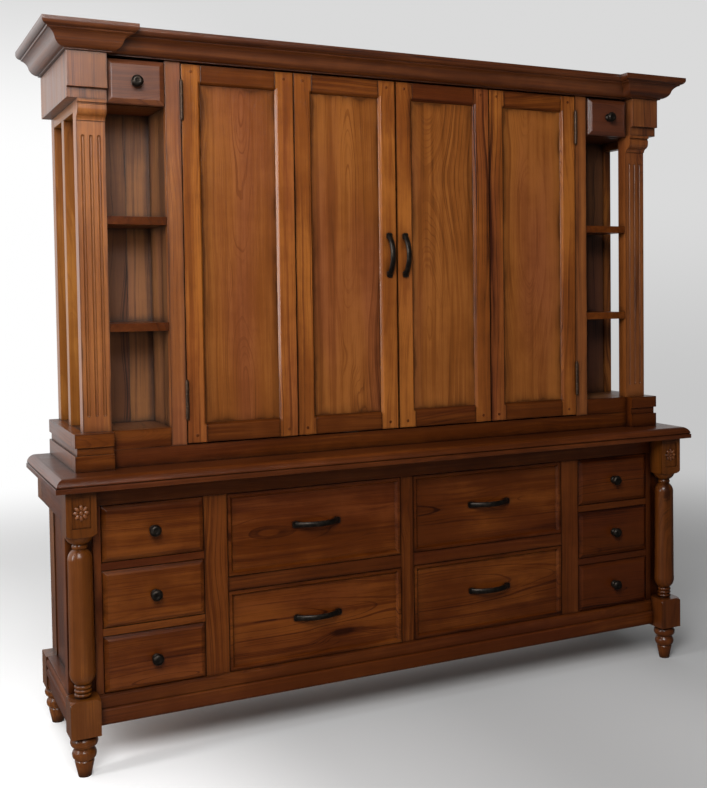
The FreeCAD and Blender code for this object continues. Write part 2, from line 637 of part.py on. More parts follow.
def frame_hinge_parts(on_door):
    """Knuckles and thin leaf of the butt hinges whose barrels stand in front of the stile."""
    pieces = []
    third = 2 * HINGE_HALF / 3
    for middle in HINGE_Z:
        low = middle - HINGE_HALF
        if on_door:
            spans = [(low + third + 0.4, low + 2 * third - 0.4)]
            plate_x = (LEAF_OUTER_X, LEAF_OUTER_X + HINGE_PLATE)
        else:
            spans = [(low, low + third), (low + 2 * third, low + 3 * third)]
            plate_x = (STILE_X[0] - HINGE_PLATE, STILE_X[0])
        plate = box(plate_x, (DOOR_D, STILE_BACK_D - 4), (low, low + 3 * third))
        for span in spans:
            neck = box(plate_x, (PIVOT_D, DOOR_D), span)
            plate = plate.fuse([neck, barrel(PIVOT_X, PIVOT_D, span, PIN_R)])
        if not on_door:
            tips = [Vector(PIVOT_X, y_at(PIVOT_D), z) for z in (low - 1, low + 3 * third + 1)]
            plate = plate.fuse([Part.makeSphere(FINIAL_R, tip) for tip in tips])
        pieces.append(plate.removeSplitter())
    return pieces


# ---- knobs, pulls and handles ----
def knob(x, depth, z):
    """Turned knob on a round foot; the outline is (radius, reach from the drawer face)."""
    outline = [(KNOB_FOOT_R, 0.0), ("line", (KNOB_FOOT_R, 2.0)), ("arc", (7.0, 5.0), (KNOB_NECK_R, 10.0)),
               ("line", (KNOB_NECK_R, 12.0)), ("arc", (KNOB_HEAD_R, 20.0), (4.0, KNOB_REACH))]
    solid = turned(outline, 0, DEPTH / 2)
    solid.rotate(Vector(0, 0, 0), Vector(1, 0, 0), 90)
    solid.translate(Vector(x, y_at(depth), z))
    return solid


def bow(x, depth, z, along, span):
    """Bow pull: an oval bar arched between two rounded feet."""
    forward = Vector(0, -1, 0)
    broad = along.cross(forward)
    base = Vector(x, y_at(depth), z)
    feet = [base - along * (span / 2), base + along * (span / 2)]
    ends = [foot + forward * 4 for foot in feet]
    path = Part.Arc(ends[0], base + forward * PULL_RISE, ends[1]).toShape()
    thin = path.tangentAt(path.FirstParameter).cross(broad)
    section = Part.Ellipse(ends[0] + broad * (PULL_BAR[0] / 2), ends[0] + thin * (PULL_BAR[1] / 2), ends[0])
    bar = Part.Wire(path).makePipeShell([Part.Wire(section.toShape())], True, False)
    long, across, thick = PULL_FOOT
    for foot in feet:
        corner = foot - along * (long / 2) - broad * (across / 2)
        rim = [corner, corner + along * long, corner + along * long + broad * across, corner + broad * across]
        pad = Part.Face(Part.makePolygon(rim + [corner])).extrude(forward * thick)
        uprights = [edge for edge in pad.Edges if abs(edge.tangentAt(0).dot(forward)) > 0.99]
        bar = bar.fuse(pad.makeFillet(PULL_FOOT_ROUND, uprights))
    return bar.removeSplitter()


def main():
    os.makedirs("parts", exist_ok=True)
    export("base_top", [base_top()])
    export("front_posts", pair([front_post(POST_X)]))
    export("rear_posts", pair([rear_post(POST_X)]))
    export("base_face_frame", face_frame())
    export("base_side_rails", base_sides())
    panel = box((SIDE_PANEL_X - SIDE_PANEL_THICK, SIDE_PANEL_X),
                (FRAME_BACK_D + 14, REAR_POST_D - POST_HALF), (RAIL_BOTTOM_Z, UNDER_TOP_Z))
    export("base_side_panels", pair([panel]))
    inner = POST_X - POST_HALF
    export("base_back", [box((-inner, inner), BACK_D, (RAIL_BOTTOM_Z, UNDER_TOP_Z))])
    export("base_partitions", base_partitions())
    export("drawer_runners", drawer_runners())

    export("hutch_plinth", hutch_plinth())
    export("hutch_floor", hutch_floor())
    export("hutch_uprights", hutch_uprights())
    export("pilasters", pair([pilaster()]))
    export("frieze_blocks", pair(frieze()))
    export("crown", [crown()])
    export("hutch_top", [box((-CROWN_SIDE_WALL, CROWN_SIDE_WALL), (CROWN_WALL_D, DEPTH), HUTCH_TOP_Z)])
    export("hutch_side_frames", hutch_side())
    export("bay_shelves", bay_shelves())
    bay_back = box((DIVIDER_X[1], SIDE_INNER_X), BAY_BACK_D, (PLINTH_TOP_Z, CROWN_BASE_Z))
    export("bay_backs", pair([bay_back]))
    export("hutch_back", [hutch_back()])
    catch = box((60.0, 100.0), (CARCASS_D[0] + 2, CARCASS_D[0] + 22), (CROWN_BASE_Z - 14, CROWN_BASE_Z))
    export("door_catches", pair([catch]))
    export("frame_hinges", pair(frame_hinge_parts(False)))

    small_middle = (SMALL_X[0] + SMALL_X[1]) / 2
    wide_middle = (WIDE_X[0] + WIDE_X[1]) / 2
    hutch_middle = (HUTCH_DRAWER_X[0] + HUTCH_DRAWER_X[1]) / 2
    hutch_middle_z = (HUTCH_DRAWER_Z[0] + HUTCH_DRAWER_Z[1]) / 2
    across, up = Vector(1, 0, 0), Vector(0, 0, 1)
    outer_leaf = (FOLD_X + FOLD_GAP, LEAF_OUTER_X)
    inner_leaf = (MEETING_GAP, FOLD_X - FOLD_GAP)
    for side in ("left", "right"):
        for row, z in SMALL_ROWS.items():
            export("small_drawer_%s_%s" % (side, row), [on_side(s, side) for s in small_drawer(z)])
            middle_z = (z[0] + z[1]) / 2
            export("knob_%s_%s" % (side, row), [on_side(knob(small_middle, SMALL_FACE_D, middle_z), side)])
        for row, z in WIDE_ROWS.items():
            export("wide_drawer_%s_%s" % (side, row), [on_side(s, side) for s in wide_drawer(z)])
            pull_z = (z[0] + z[1]) / 2 + PULL_ABOVE_CENTRE
            pull = bow(wide_middle, FRAME_D + WIDE_STICKING[1], pull_z, across, PULL_SPAN)
            export("pull_%s_%s" % (side, row), [on_side(pull, side)])
        export("hutch_drawer_%s" % side, [on_side(s, side) for s in hutch_drawer()])
        hutch_knob = knob(hutch_middle, HUTCH_DRAWER_D, hutch_middle_z)
        export("knob_hutch_%s" % side, [on_side(hutch_knob, side)])

        export("door_%s_outer_frame" % side, [on_side(s, side) for s in leaf_frame(outer_leaf)])
        export("door_%s_outer_panel" % side, [on_side(leaf_panel(outer_leaf), side)])
        export("door_%s_inner_frame" % side, [on_side(s, side) for s in leaf_frame(inner_leaf)])
        export("door_%s_inner_panel" % side, [on_side(leaf_panel(inner_leaf), side)])
        outer_hinges = frame_hinge_parts(True) + fold_hinges(1)
        export("door_%s_outer_hinges" % side, [on_side(s, side) for s in outer_hinges])
        export("door_%s_inner_hinges" % side, [on_side(s, side) for s in fold_hinges(-1)])
        handle = bow(HANDLE_X, DOOR_D, HANDLE_Z, up, HANDLE_SPAN)
        export("door_handle_%s" % side, [on_side(handle, side)])


main()
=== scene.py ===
import json
import logging
import math
import zlib
from dataclasses import dataclass, field
from enum import Enum
from typing import Callable, Optional, Union

import bmesh
import bpy
import numpy as np
from mathutils import Matrix, Vector

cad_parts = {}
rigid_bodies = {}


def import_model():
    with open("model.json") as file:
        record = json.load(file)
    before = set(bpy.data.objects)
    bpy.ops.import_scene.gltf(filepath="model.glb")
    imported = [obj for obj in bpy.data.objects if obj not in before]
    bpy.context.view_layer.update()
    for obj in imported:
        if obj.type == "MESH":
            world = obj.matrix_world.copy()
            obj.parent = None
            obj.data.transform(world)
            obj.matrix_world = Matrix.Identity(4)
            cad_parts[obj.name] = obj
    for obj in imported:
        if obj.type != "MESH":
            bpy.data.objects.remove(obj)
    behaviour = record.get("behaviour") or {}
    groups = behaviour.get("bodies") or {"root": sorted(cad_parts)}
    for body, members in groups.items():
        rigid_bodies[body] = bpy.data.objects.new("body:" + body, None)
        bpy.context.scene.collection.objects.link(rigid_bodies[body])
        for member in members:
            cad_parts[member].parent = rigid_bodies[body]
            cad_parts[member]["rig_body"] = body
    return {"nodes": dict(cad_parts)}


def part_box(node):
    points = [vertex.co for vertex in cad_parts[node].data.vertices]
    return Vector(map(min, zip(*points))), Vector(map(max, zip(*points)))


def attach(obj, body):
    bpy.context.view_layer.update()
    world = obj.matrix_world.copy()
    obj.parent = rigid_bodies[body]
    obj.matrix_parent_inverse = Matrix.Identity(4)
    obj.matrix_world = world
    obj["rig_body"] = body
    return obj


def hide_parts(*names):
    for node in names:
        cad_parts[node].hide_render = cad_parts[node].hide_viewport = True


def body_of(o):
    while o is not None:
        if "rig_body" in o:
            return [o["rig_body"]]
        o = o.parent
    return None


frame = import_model()

log = logging.getLogger("armoire")

Colour = tuple[float, float, float, float]
Point = tuple[float, float, float]
Span = tuple[float, float]
Socket = bpy.types.NodeSocket
Value = Union[float, int, Socket]

WHITE: Colour = (1.0, 1.0, 1.0, 1.0)
BLACK: Colour = (0.0, 0.0, 0.0, 1.0)
NUMBER, VECTOR, COLOUR = "NodeSocketFloat", "NodeSocketVector", "NodeSocketColor"
SHAPE, WHOLE, MATERIAL = "NodeSocketGeometry", "NodeSocketInt", "NodeSocketMaterial"
SIDES = ("left", "right")
LEAVES = ("outer", "inner")
ROWS_OF_THREE = ("top", "middle", "bottom")
ROWS_OF_TWO = ("upper", "lower")


class Grain(Enum):
    """Which way the grain of a board runs."""

    LONGEST = "along its longest side"
    ACROSS = "across the front"
    UPRIGHT = "up and down"
    MITRED = "across the front and back along the mitred ends"


class Slot(Enum):
    """The material slots of the wooden pieces."""

    CASE = "case_wood"
    TOP = "top_wood"
    DOOR = "door_wood"
    DRAWER = "drawer_wood"
    INNER = "inner_wood"


# --------------------------------------------------------------------------
# Node trees and objects
# --------------------------------------------------------------------------


class Tree:
    """Adds nodes to a shader or geometry tree and joins them."""

    def __init__(self, tree: bpy.types.NodeTree) -> None:
        """Starts on a tree."""
        self.tree = tree

    def node(self, kind: str, inputs: Optional[dict] = None, **settings: object) -> bpy.types.Node:
        """Adds a node.

        Args:
            kind: the node's type name.
            inputs: values or sockets by input name or number.
            settings: the node's own properties.

        Returns:
            The node.
        """
        made = self.tree.nodes.new(kind)
        for name, value in settings.items():
            setattr(made, name, value)
        for key, value in (inputs or {}).items():
            self.feed(made.inputs[key], value)
        return made

    def feed(self, target: Socket, value: object) -> None:
        """Joins a socket to an input, or writes a value there.

        Args:
            target: the input.
            value: an output socket or a plain value.
        """
        if isinstance(value, bpy.types.NodeSocket):
            self.tree.links.new(value, target)
        else:
            target.default_value = value

    def math(self, operation: str, first: Value, second: Value = 0.0, third: Value = 0.0) -> Socket:
        """One sum, by the Math node's own name for it."""
        return self.node("ShaderNodeMath", {0: first, 1: second, 2: third}, operation=operation).outputs[0]

    def times(self, first: Value, second: Value) -> Socket:
        """Two numbers multiplied."""
        return self.math("MULTIPLY", first, second)

    def less(self, first: Value, second: Value) -> Socket:
        """The second number taken from the first."""
        return self.math("SUBTRACT", first, second)

    def add(self, value: Value, weight: Value, rest: Value) -> Socket:
        """A number times its weight, added to another."""
        return self.math("MULTIPLY_ADD", value, weight, rest)

    def weigh(self, *layers: tuple[Value, Value]) -> Socket:
        """Numbers added up, each times its weight.

        Args:
            layers: the numbers with their weights.

        Returns:
            The sum's socket.
        """
        total: Value = 0.0
        for number, weight in layers:
            total = self.add(number, weight, total)
        return total

    def stretch(self, vector: Socket, scale: Point) -> Socket:
        """A vector multiplied along each axis."""
        return self.node("ShaderNodeVectorMath", {0: vector, 1: scale}, operation="MULTIPLY").outputs[0]

    def length(self, vector: Socket) -> Socket:
        """How long a vector is."""
        return self.node("ShaderNodeVectorMath", {0: vector}, operation="LENGTH").outputs["Value"]

    def split(self, vector: Socket) -> list[Socket]:
        """A vector's three parts."""
        return list(self.node("ShaderNodeSeparateXYZ", {0: vector}).outputs)

    def join(self, parts: tuple[Value, Value, Value]) -> Socket:
        """A vector of three parts."""
        return self.node("ShaderNodeCombineXYZ", dict(enumerate(parts))).outputs[0]

    def spread(self, value: Socket, span: tuple[Value, Value], onto: Span = (0.0, 1.0)) -> Socket:
        """A span of numbers mapped smoothly onto another."""
        inputs = dict(zip(("Value", "From Min", "From Max", "To Min", "To Max"), (value, *span, *onto)))
        return self.node("ShaderNodeMapRange", inputs, interpolation_type="SMOOTHSTEP").outputs[0]

    def blend(self, amount: Value, first: object, second: object, way: str = "MIX") -> Socket:
        """Two colours mixed, by the Mix node's own name for the way."""
        inputs = {0: amount, 6: first, 7: second}
        return self.node("ShaderNodeMix", inputs, data_type="RGBA", blend_type=way).outputs[2]


@dataclass(frozen=True)
class Layer:
    """Cloudy noise: its cycles in a metre along each axis, its finer layers and their weight."""

    cycles: Point
    detail: float = 2.0
    rough: float = 0.5

    def lay(self, t: Tree, place: Socket) -> Socket:
        """Reads the noise at a place, about 0.5 on average."""
        inputs = {"Vector": t.stretch(place, self.cycles), "Scale": 1.0, "Detail": self.detail}
        return t.node("ShaderNodeTexNoise", dict(inputs, Roughness=self.rough)).outputs[0]


class Group:
    """A node group with named inputs and outputs, given as socket types by name, and built once."""

    name = ""
    kind = "ShaderNodeTree"
    inputs: dict[str, str] = {}
    outputs: dict[str, str] = {}

    def tree(self) -> bpy.types.NodeTree:
        """The node group.

        Returns:
            The group, made at its first use.
        """
        if self.name in bpy.data.node_groups:
            return bpy.data.node_groups[self.name]
        tree = bpy.data.node_groups.new(self.name, self.kind)
        for way, sockets in (("INPUT", self.inputs), ("OUTPUT", self.outputs)):
            for label, kind in sockets.items():
                tree.interface.new_socket(label, in_out=way, socket_type=kind)
        given = tree.nodes.new("NodeGroupInput").outputs
        results = tree.nodes.new("NodeGroupOutput").inputs
        t = Tree(tree)
        for label, value in self.build(t, {each.name: each for each in given if each.name}).items():
            t.feed(results[label], value)
        return tree

    def build(self, t: Tree, given: dict[str, Socket]) -> dict[str, Socket]:
        """Adds the group's own nodes.

        Args:
            t: the group's tree.
            given: the group's inputs by name.

        Returns:
            The group's results by name.
        """
        raise NotImplementedError


def new_material(name: str, surface: Callable[[Tree], Socket]) -> bpy.types.Material:
    """Makes a material.

    Args:
        name: its name.
        surface: adds the nodes of its surface and returns the shader's socket.

    Returns:
        The material.
    """
    made = bpy.data.materials.new(name)
    made.use_nodes = True
    made.node_tree.nodes.clear()
    t = Tree(made.node_tree)
    t.node("ShaderNodeOutputMaterial", {"Surface": surface(t)})
    return made


def new_object(name: str, data: bpy.types.ID) -> bpy.types.Object:
    """Puts an object in the scene.

    Args:
        name: its name.
        data: its mesh, lamp or camera.

    Returns:
        The object.
    """
    made = bpy.data.objects.new(name, data)
    bpy.context.scene.collection.objects.link(made)
    return made


# --------------------------------------------------------------------------
# Effects that the finishes share
# --------------------------------------------------------------------------


@dataclass(frozen=True)
class WoodFigure(Group):
    """The figure of a sawn board: growth rings, fibres, streaks, blotches, knots and pores."""

    knot_cycles: Point = (7.0, 7.0, 1.9)
    knot_rims: Layer = Layer((55.0, 55.0, 22.0))
    knot_ragged: float = 0.05
    knot_span: Span = (0.30, 0.04)
    eye_span: Span = (0.135, 0.060)
    bends: Layer = Layer((4.0, 4.0, 0.8), 4.0, 0.55)
    bend_width: float = 0.055
    sway: Layer = Layer((0.5, 0.5, 1.0))
    sway_width: float = 0.06
    heart_lean: float = 0.34
    knot_push: float = 0.020
    uneven_cycles: float = 0.41
    uneven_width: float = 2.2
    late_end: float = 0.90
    ring_close: Span = (0.92, 1.0)
    patches: Layer = Layer((8.0, 8.0, 1.2), 3.0)
    patch_span: Span = (0.36, 0.68)
    patch_strength: Span = (0.10, 1.0)
    fibres: Layer = Layer((520.0, 520.0, 9.0), rough=0.6)
    fibre_weight: float = 0.24
    threads: Layer = Layer((190.0, 190.0, 3.0), rough=0.6)
    thread_weight: float = 0.26
    ribbons: Layer = Layer((60.0, 60.0, 1.6), 3.0, 0.6)
    ribbon_weight: float = 0.44
    curl: Layer = Layer((14.0, 14.0, 30.0))
    curl_weight: float = 0.12
    streaks: Layer = Layer((24.0, 24.0, 0.7), 4.0, 0.62)
    streak_span: Span = (0.52, 0.80)
    blotches: Layer = Layer((6.0, 6.0, 2.6), 4.0, 0.60)
    pores: Layer = Layer((1500.0, 1500.0, 55.0), 1.0)
    pore_span: Span = (0.62, 0.72)
    pore_weight: float = -0.12
    knot_weight: float = -0.16
    eye_weight: float = -0.40
    tone_weight: float = 0.10
    dark_span: Span = (-0.14, 0.40)
    bright_span: Span = (0.36, 0.74)
    plums: Layer = Layer((5.0, 5.0, 0.9))
    plum_span: Span = (0.47, 0.66)
    plum_depth: float = 0.75
    plum: Colour = (0.84, 0.74, 1.35, 1.0)
    pore_relief: float = -0.7
    fibre_relief: float = 0.35
    ring_relief: float = -0.18
    blotch_sheen: float = 0.5
    ribbon_sheen: float = 0.5

    name = "wood_figure"
    inputs = {
        "Board": VECTOR,
        "Tone": NUMBER,
        "Dark": COLOUR,
        "Body": COLOUR,
        "Bright": COLOUR,
        "Ring Width": NUMBER,
        "Ring Depth": NUMBER,
        "Ring Start": NUMBER,
        "Streak Depth": NUMBER,
        "Blotch Depth": NUMBER,
        "Knots": NUMBER,
    }
    outputs = {"Color": COLOUR, "Relief": NUMBER, "Sheen": NUMBER}

    def build(self, t: Tree, given: dict[str, Socket]) -> dict[str, Socket]:
        """Adds the figure's nodes.

        Args:
            t: the group's tree.
            given: the group's inputs by name.

        Returns:
            The group's results by name.
        """
        board = given["Board"]

        # A few knots, which the rings flow round.
        spots = t.node("ShaderNodeTexVoronoi", {"Vector": t.stretch(board, self.knot_cycles), "Scale": 1.0})
        near = t.add(self.knot_rims.lay(t, board), self.knot_ragged, spots.outputs[0])
        knot, eye = t.spread(near, self.knot_span), t.spread(near, self.eye_span)

        # The rings stand round the heart of the log, which leans through the board,
        # so that flat sawn faces show arches.
        bend, sway = self.bends.lay(t, board), self.sway.lay(t, board)
        parts = t.split(board)
        across = t.add(sway, self.sway_width, parts[0])
        lean = t.add(t.less(sway, 0.5), self.heart_lean, parts[1])
        radius = t.add(bend, self.bend_width, t.math("SQRT", t.weigh((across, across), (lean, lean))))
        turns = t.math("DIVIDE", t.add(knot, self.knot_push, radius), given["Ring Width"])
        steps = {"W": t.times(turns, self.uneven_cycles), "Detail": 1.0}
        uneven = t.node("ShaderNodeTexNoise", steps, noise_dimensions="1D").outputs[0]
        phase = t.math("FRACT", t.add(uneven, self.uneven_width, turns))
        late = t.spread(phase, (given["Ring Start"], self.late_end))
        late = t.less(late, t.spread(phase, self.ring_close))
        patchy = t.spread(self.patches.lay(t, board), self.patch_span, self.patch_strength)
        rings = t.times(t.times(late, patchy), given["Ring Depth"])

        ribbons, fibres, blotches = (
            layer.lay(t, board) for layer in (self.ribbons, self.fibres, self.blotches)
        )
        streaks = t.spread(self.streaks.lay(t, board), self.streak_span)
        pores = t.spread(self.pores.lay(t, board), self.pore_span)
        shade = t.weigh(
            (ribbons, self.ribbon_weight),
            (fibres, self.fibre_weight),
            (self.threads.lay(t, board), self.thread_weight),
            (self.curl.lay(t, board), self.curl_weight),
            (rings, -1.0),
            (t.times(streaks, given["Streak Depth"]), -1.0),
            (t.less(blotches, 0.5), given["Blotch Depth"]),
            (t.times(knot, given["Knots"]), self.knot_weight),
            (t.times(eye, given["Knots"]), self.eye_weight),
            (pores, self.pore_weight),
            (given["Tone"], self.tone_weight),
        )
        lower = t.blend(t.spread(shade, self.dark_span), given["Dark"], given["Body"])
        colour = t.blend(t.spread(shade, self.bright_span), lower, given["Bright"])

        # The stain took a plum shade here and there.
        plum = t.times(t.spread(self.plums.lay(t, board), self.plum_span), self.plum_depth)
        colour = t.blend(plum, colour, self.plum, "MULTIPLY")
        relief = t.weigh((pores, self.pore_relief), (fibres, self.fibre_relief), (late, self.ring_relief))
        sheen = t.weigh((blotches, self.blotch_sheen), (ribbons, self.ribbon_sheen))
        return {"Color": colour, "Relief": relief, "Sheen": sheen}


@dataclass(frozen=True)
class GlazeAndPaintedShade(Group):
    """Painted shade in corners, quirks and gaps, read from ambient occlusion, and each board darker towards
    its rim: partly stain and glaze, partly painted shade at the gaps.
    """

    samples: int = 6
    shade_clouds: Layer = Layer((60.0, 60.0, 24.0))
    shade_cloud_weight: float = 0.35
    open_span: Span = (1.02, 0.30)
    rim_clouds: Layer = Layer((22.0, 22.0, 9.0), 3.0)
    rim_falls: tuple[Span, ...] = ((2.0, 0.55), (8.0, 0.45))

    name = "painted_shade_and_glaze"
    inputs = {
        "Color": COLOUR,
        "GlazeAndPaintedShade": COLOUR,
        "Reach": NUMBER,
        "Depth": NUMBER,
        "Board": VECTOR,
        "Rim": VECTOR,
        "Half": VECTOR,
        "Rim Width": NUMBER,
        "Rim Depth": NUMBER,
    }
    outputs = {"Color": COLOUR}

    def build(self, t: Tree, given: dict[str, Socket]) -> dict[str, Socket]:
        """Adds the glaze's nodes.

        Args:
            t: the group's tree.
            given: the group's inputs by name.

        Returns:
            The group's results by name.
        """
        board, width = given["Board"], given["Rim Width"]
        # Painted shade: ambient occlusion darkens corners, quirks and gaps where shade falls, made patchy by
        # noise.
        shelter = t.node("ShaderNodeAmbientOcclusion", {"Distance": given["Reach"]}, samples=self.samples)
        uneven_shade = t.less(self.shade_clouds.lay(t, board), 0.5)
        open_face = t.add(uneven_shade, self.shade_cloud_weight, shelter.outputs["AO"])
        corners = t.times(t.spread(open_face, self.open_span), given["Depth"])

        # Painted shade towards each board's rim, partly real stain and glaze, partly the shadow in the gaps
        # round it.
        spot, half = t.split(given["Rim"]), t.split(given["Half"])
        sides = [t.less(half[axis], t.math("ABSOLUTE", spot[axis])) for axis in (0, 1)]
        cloud = t.less(self.rim_clouds.lay(t, board), 0.5)
        away = t.math("DIVIDE", t.add(cloud, width, t.math("MINIMUM", *sides)), width)
        near = t.less(1.0, t.node("ShaderNodeClamp", {0: away}).outputs[0])
        rim = t.weigh(*((t.math("POWER", near, power), weight) for power, weight in self.rim_falls))
        rim = t.times(t.times(rim, given["Rim Depth"]), half[2])
        return {"Color": t.blend(t.math("MAXIMUM", corners, rim), given["Color"], given["GlazeAndPaintedShade"])}


@dataclass(frozen=True)
class Patina(Group):
    """Brown-black patina on cast metal, thin where hands rub it."""

    clouds: Layer = Layer((90.0, 90.0, 90.0), 3.0)
    grit: Layer = Layer((900.0, 900.0, 900.0))
    grit_weight: float = 0.5
    dent_cycles: float = 190.0
    rub_span: Span = (0.45, 0.75)
    rough_span: Span = (0.4, 1.1)
    roughness: Span = (0.30, 0.55)
    dent_relief: float = 0.8
    grit_relief: float = 0.3

    name = "metal_patina"
    inputs = {"Dark": COLOUR, "Rubbed": COLOUR, "Rub": NUMBER}
    outputs = {"Color": COLOUR, "Roughness": NUMBER, "Relief": NUMBER}

    def build(self, t: Tree, given: dict[str, Socket]) -> dict[str, Socket]:
        """Adds the patina's nodes.

        Args:
            t: the group's tree.
            given: the group's inputs by name.

        Returns:
            The group's results by name.
        """
        place = t.node("ShaderNodeTexCoord").outputs["Object"]
        cloud, grit = self.clouds.lay(t, place), self.grit.lay(t, place)
        hammered = {"Vector": place, "Scale": self.dent_cycles}
        dents = t.node("ShaderNodeTexVoronoi", hammered, feature="SMOOTH_F1").outputs[0]
        rub = t.times(t.spread(cloud, self.rub_span), given["Rub"])
        return {
            "Color": t.blend(rub, given["Dark"], given["Rubbed"]),
            "Roughness": t.spread(t.add(grit, self.grit_weight, cloud), self.rough_span, self.roughness),
            "Relief": t.weigh((grit, self.grit_relief), (dents, self.dent_relief)),
        }


# --------------------------------------------------------------------------
# Finishes
# --------------------------------------------------------------------------


@dataclass(frozen=True)
class Finish:
    """What covers a surface."""

    name: str
    dark: Colour

    def material(self) -> bpy.types.Material:
        """The finish as a material, made at its first use."""
        return bpy.data.materials.get(self.name) or new_material(self.name, self.surface)

    def surface(self, t: Tree) -> Socket:
        """Adds the nodes of the surface.

        Args:
            t: the material's tree.

        Returns:
            The shader's socket.
        """
        raise NotImplementedError


@dataclass(frozen=True)
class WoodFinish(Finish):
    """Stained and lacquered wood, with painted shade in its corners and towards its rims."""

    body: Colour
    bright: Colour
    ring_width: float = 0.0125
    ring_depth: float = 0.30
    ring_start: float = 0.45
    streak_depth: float = 0.48
    blotch_depth: float = 0.80
    knots: float = 1.0
    # Painted shade in corners, quirks and gaps, and towards each board's rim, partly real glaze and stain.
    corner_shade_reach: float = 0.026
    corner_shade_depth: float = 0.92
    glaze_and_shade_scale: float = 0.35
    rim_width: float = 0.012
    rim_depth: float = 0.70
    relief: float = 0.35
    relief_height: float = 0.0004
    roughness: float = 0.34
    sheen_span: Span = (0.3, 0.7)
    sheen_change: Span = (-0.06, 0.08)
    gloss: float = 0.14
    lacquer: float = 0.13
    lacquer_roughness: float = 0.17

    def surface(self, t: Tree) -> Socket:
        """Adds the nodes of the wood, its glaze with painted shade in corners and along rims, and its
        lacquer.

        Args:
            t: the material's tree.

        Returns:
            The shader's socket.
        """
        board, rim, half = (
            t.node("ShaderNodeAttribute", attribute_name=name).outputs["Vector"]
            for name in ("board", "rim", "half")
        )
        values = {
            "Board": board,
            "Tone": t.node("ShaderNodeAttribute", attribute_name="tone").outputs["Fac"],
            "Dark": self.dark,
            "Body": self.body,
            "Bright": self.bright,
            "Ring Width": self.ring_width,
            "Ring Depth": self.ring_depth,
            "Ring Start": self.ring_start,
            "Streak Depth": self.streak_depth,
            "Blotch Depth": self.blotch_depth,
            "Knots": self.knots,
        }
        figure = t.node("ShaderNodeGroup", values, node_tree=WoodFigure().tree()).outputs
        values = {
            "Color": figure["Color"],
            "GlazeAndPaintedShade": tuple(self.glaze_and_shade_scale * c for c in self.dark[:3]) + (1.0,),
            "Reach": self.corner_shade_reach,
            "Depth": self.corner_shade_depth,
            "Board": board,
            "Rim": rim,
            "Half": half,
            "Rim Width": self.rim_width,
            "Rim Depth": self.rim_depth,
        }
        film = t.node("ShaderNodeGroup", values, node_tree=GlazeAndPaintedShade().tree()).outputs
        raised = {"Height": figure["Relief"], "Strength": self.relief, "Distance": self.relief_height}
        low, high = (self.roughness + change for change in self.sheen_change)
        values = {
            "Base Color": film["Color"],
            "Roughness": t.spread(figure["Sheen"], self.sheen_span, (low, high)),
            "Normal": t.node("ShaderNodeBump", raised).outputs[0],
            "Specular IOR Level": self.gloss,
            "Coat Weight": self.lacquer,
            "Coat Roughness": self.lacquer_roughness,
        }
        return t.node("ShaderNodeBsdfPrincipled", values).outputs[0]


@dataclass(frozen=True)
class MetalFinish(Finish):
    """Cast metal under a dark patina."""

    rubbed: Colour
    rub: float = 0.35
    relief: float = 0.3
    relief_height: float = 0.0005
    metallic: float = 0.85

    def surface(self, t: Tree) -> Socket:
        """Adds the nodes of the metal and its patina.

        Args:
            t: the material's tree.

        Returns:
            The shader's socket.
        """
        values = {"Dark": self.dark, "Rubbed": self.rubbed, "Rub": self.rub}
        coat = t.node("ShaderNodeGroup", values, node_tree=Patina().tree()).outputs
        raised = {"Height": coat["Relief"], "Strength": self.relief, "Distance": self.relief_height}
        values = {
            "Base Color": coat["Color"],
            "Metallic": self.metallic,
            "Roughness": coat["Roughness"],
            "Normal": t.node("ShaderNodeBump", raised).outputs[0],
        }
        return t.node("ShaderNodeBsdfPrincipled", values).outputs[0]


CASE_WOOD = WoodFinish(
    "case_wood_lacquer",
    dark=(0.022, 0.0043, 0.0007, 1.0),
    body=(0.069, 0.0148, 0.0016, 1.0),
    bright=(0.132, 0.0340, 0.0040, 1.0),
)
POST_WOOD = WoodFinish(
    "turned_post_lacquer",
    dark=(0.026, 0.0060, 0.0009, 1.0),
    body=(0.092, 0.0245, 0.0028, 1.0),
    bright=(0.180, 0.0560, 0.0070, 1.0),
    lacquer=0.30,
)
TOP_WOOD = WoodFinish(
    "top_wood_lacquer",
    dark=(0.016, 0.0034, 0.0007, 1.0),
    body=(0.056, 0.0120, 0.0015, 1.0),
    bright=(0.115, 0.0270, 0.0036, 1.0),
    gloss=0.26,
)
CROWN_WOOD = WoodFinish(
    "crown_lacquer",
    dark=(0.018, 0.0036, 0.0006, 1.0),
    body=(0.066, 0.0145, 0.0018, 1.0),
    bright=(0.140, 0.0360, 0.0045, 1.0),
    gloss=0.60,
)
PILASTER_WOOD = WoodFinish(
    "pilaster_lacquer",
    dark=(0.050, 0.0120, 0.0026, 1.0),
    body=(0.180, 0.0520, 0.0100, 1.0),
    bright=(0.300, 0.1000, 0.0200, 1.0),
    corner_shade_depth=0.60,
    streak_depth=0.50,
    gloss=0.40,
    roughness=0.40,
)
FRIEZE_WOOD = WoodFinish(
    "frieze_lacquer",
    dark=(0.034, 0.0080, 0.0016, 1.0),
    body=(0.128, 0.0350, 0.0060, 1.0),
    bright=(0.215, 0.0680, 0.0120, 1.0),
    ring_width=0.030,
    ring_depth=0.80,
    ring_start=0.80,
    corner_shade_depth=0.70,
    streak_depth=0.80,
    gloss=0.60,
    roughness=0.40,
)
SIDE_FRAME_WOOD = WoodFinish(
    "side_frame_lacquer",
    dark=(0.060, 0.0160, 0.0034, 1.0),
    body=(0.210, 0.0700, 0.0120, 1.0),
    bright=(0.330, 0.1280, 0.0240, 1.0),
    corner_shade_depth=0.50,
)
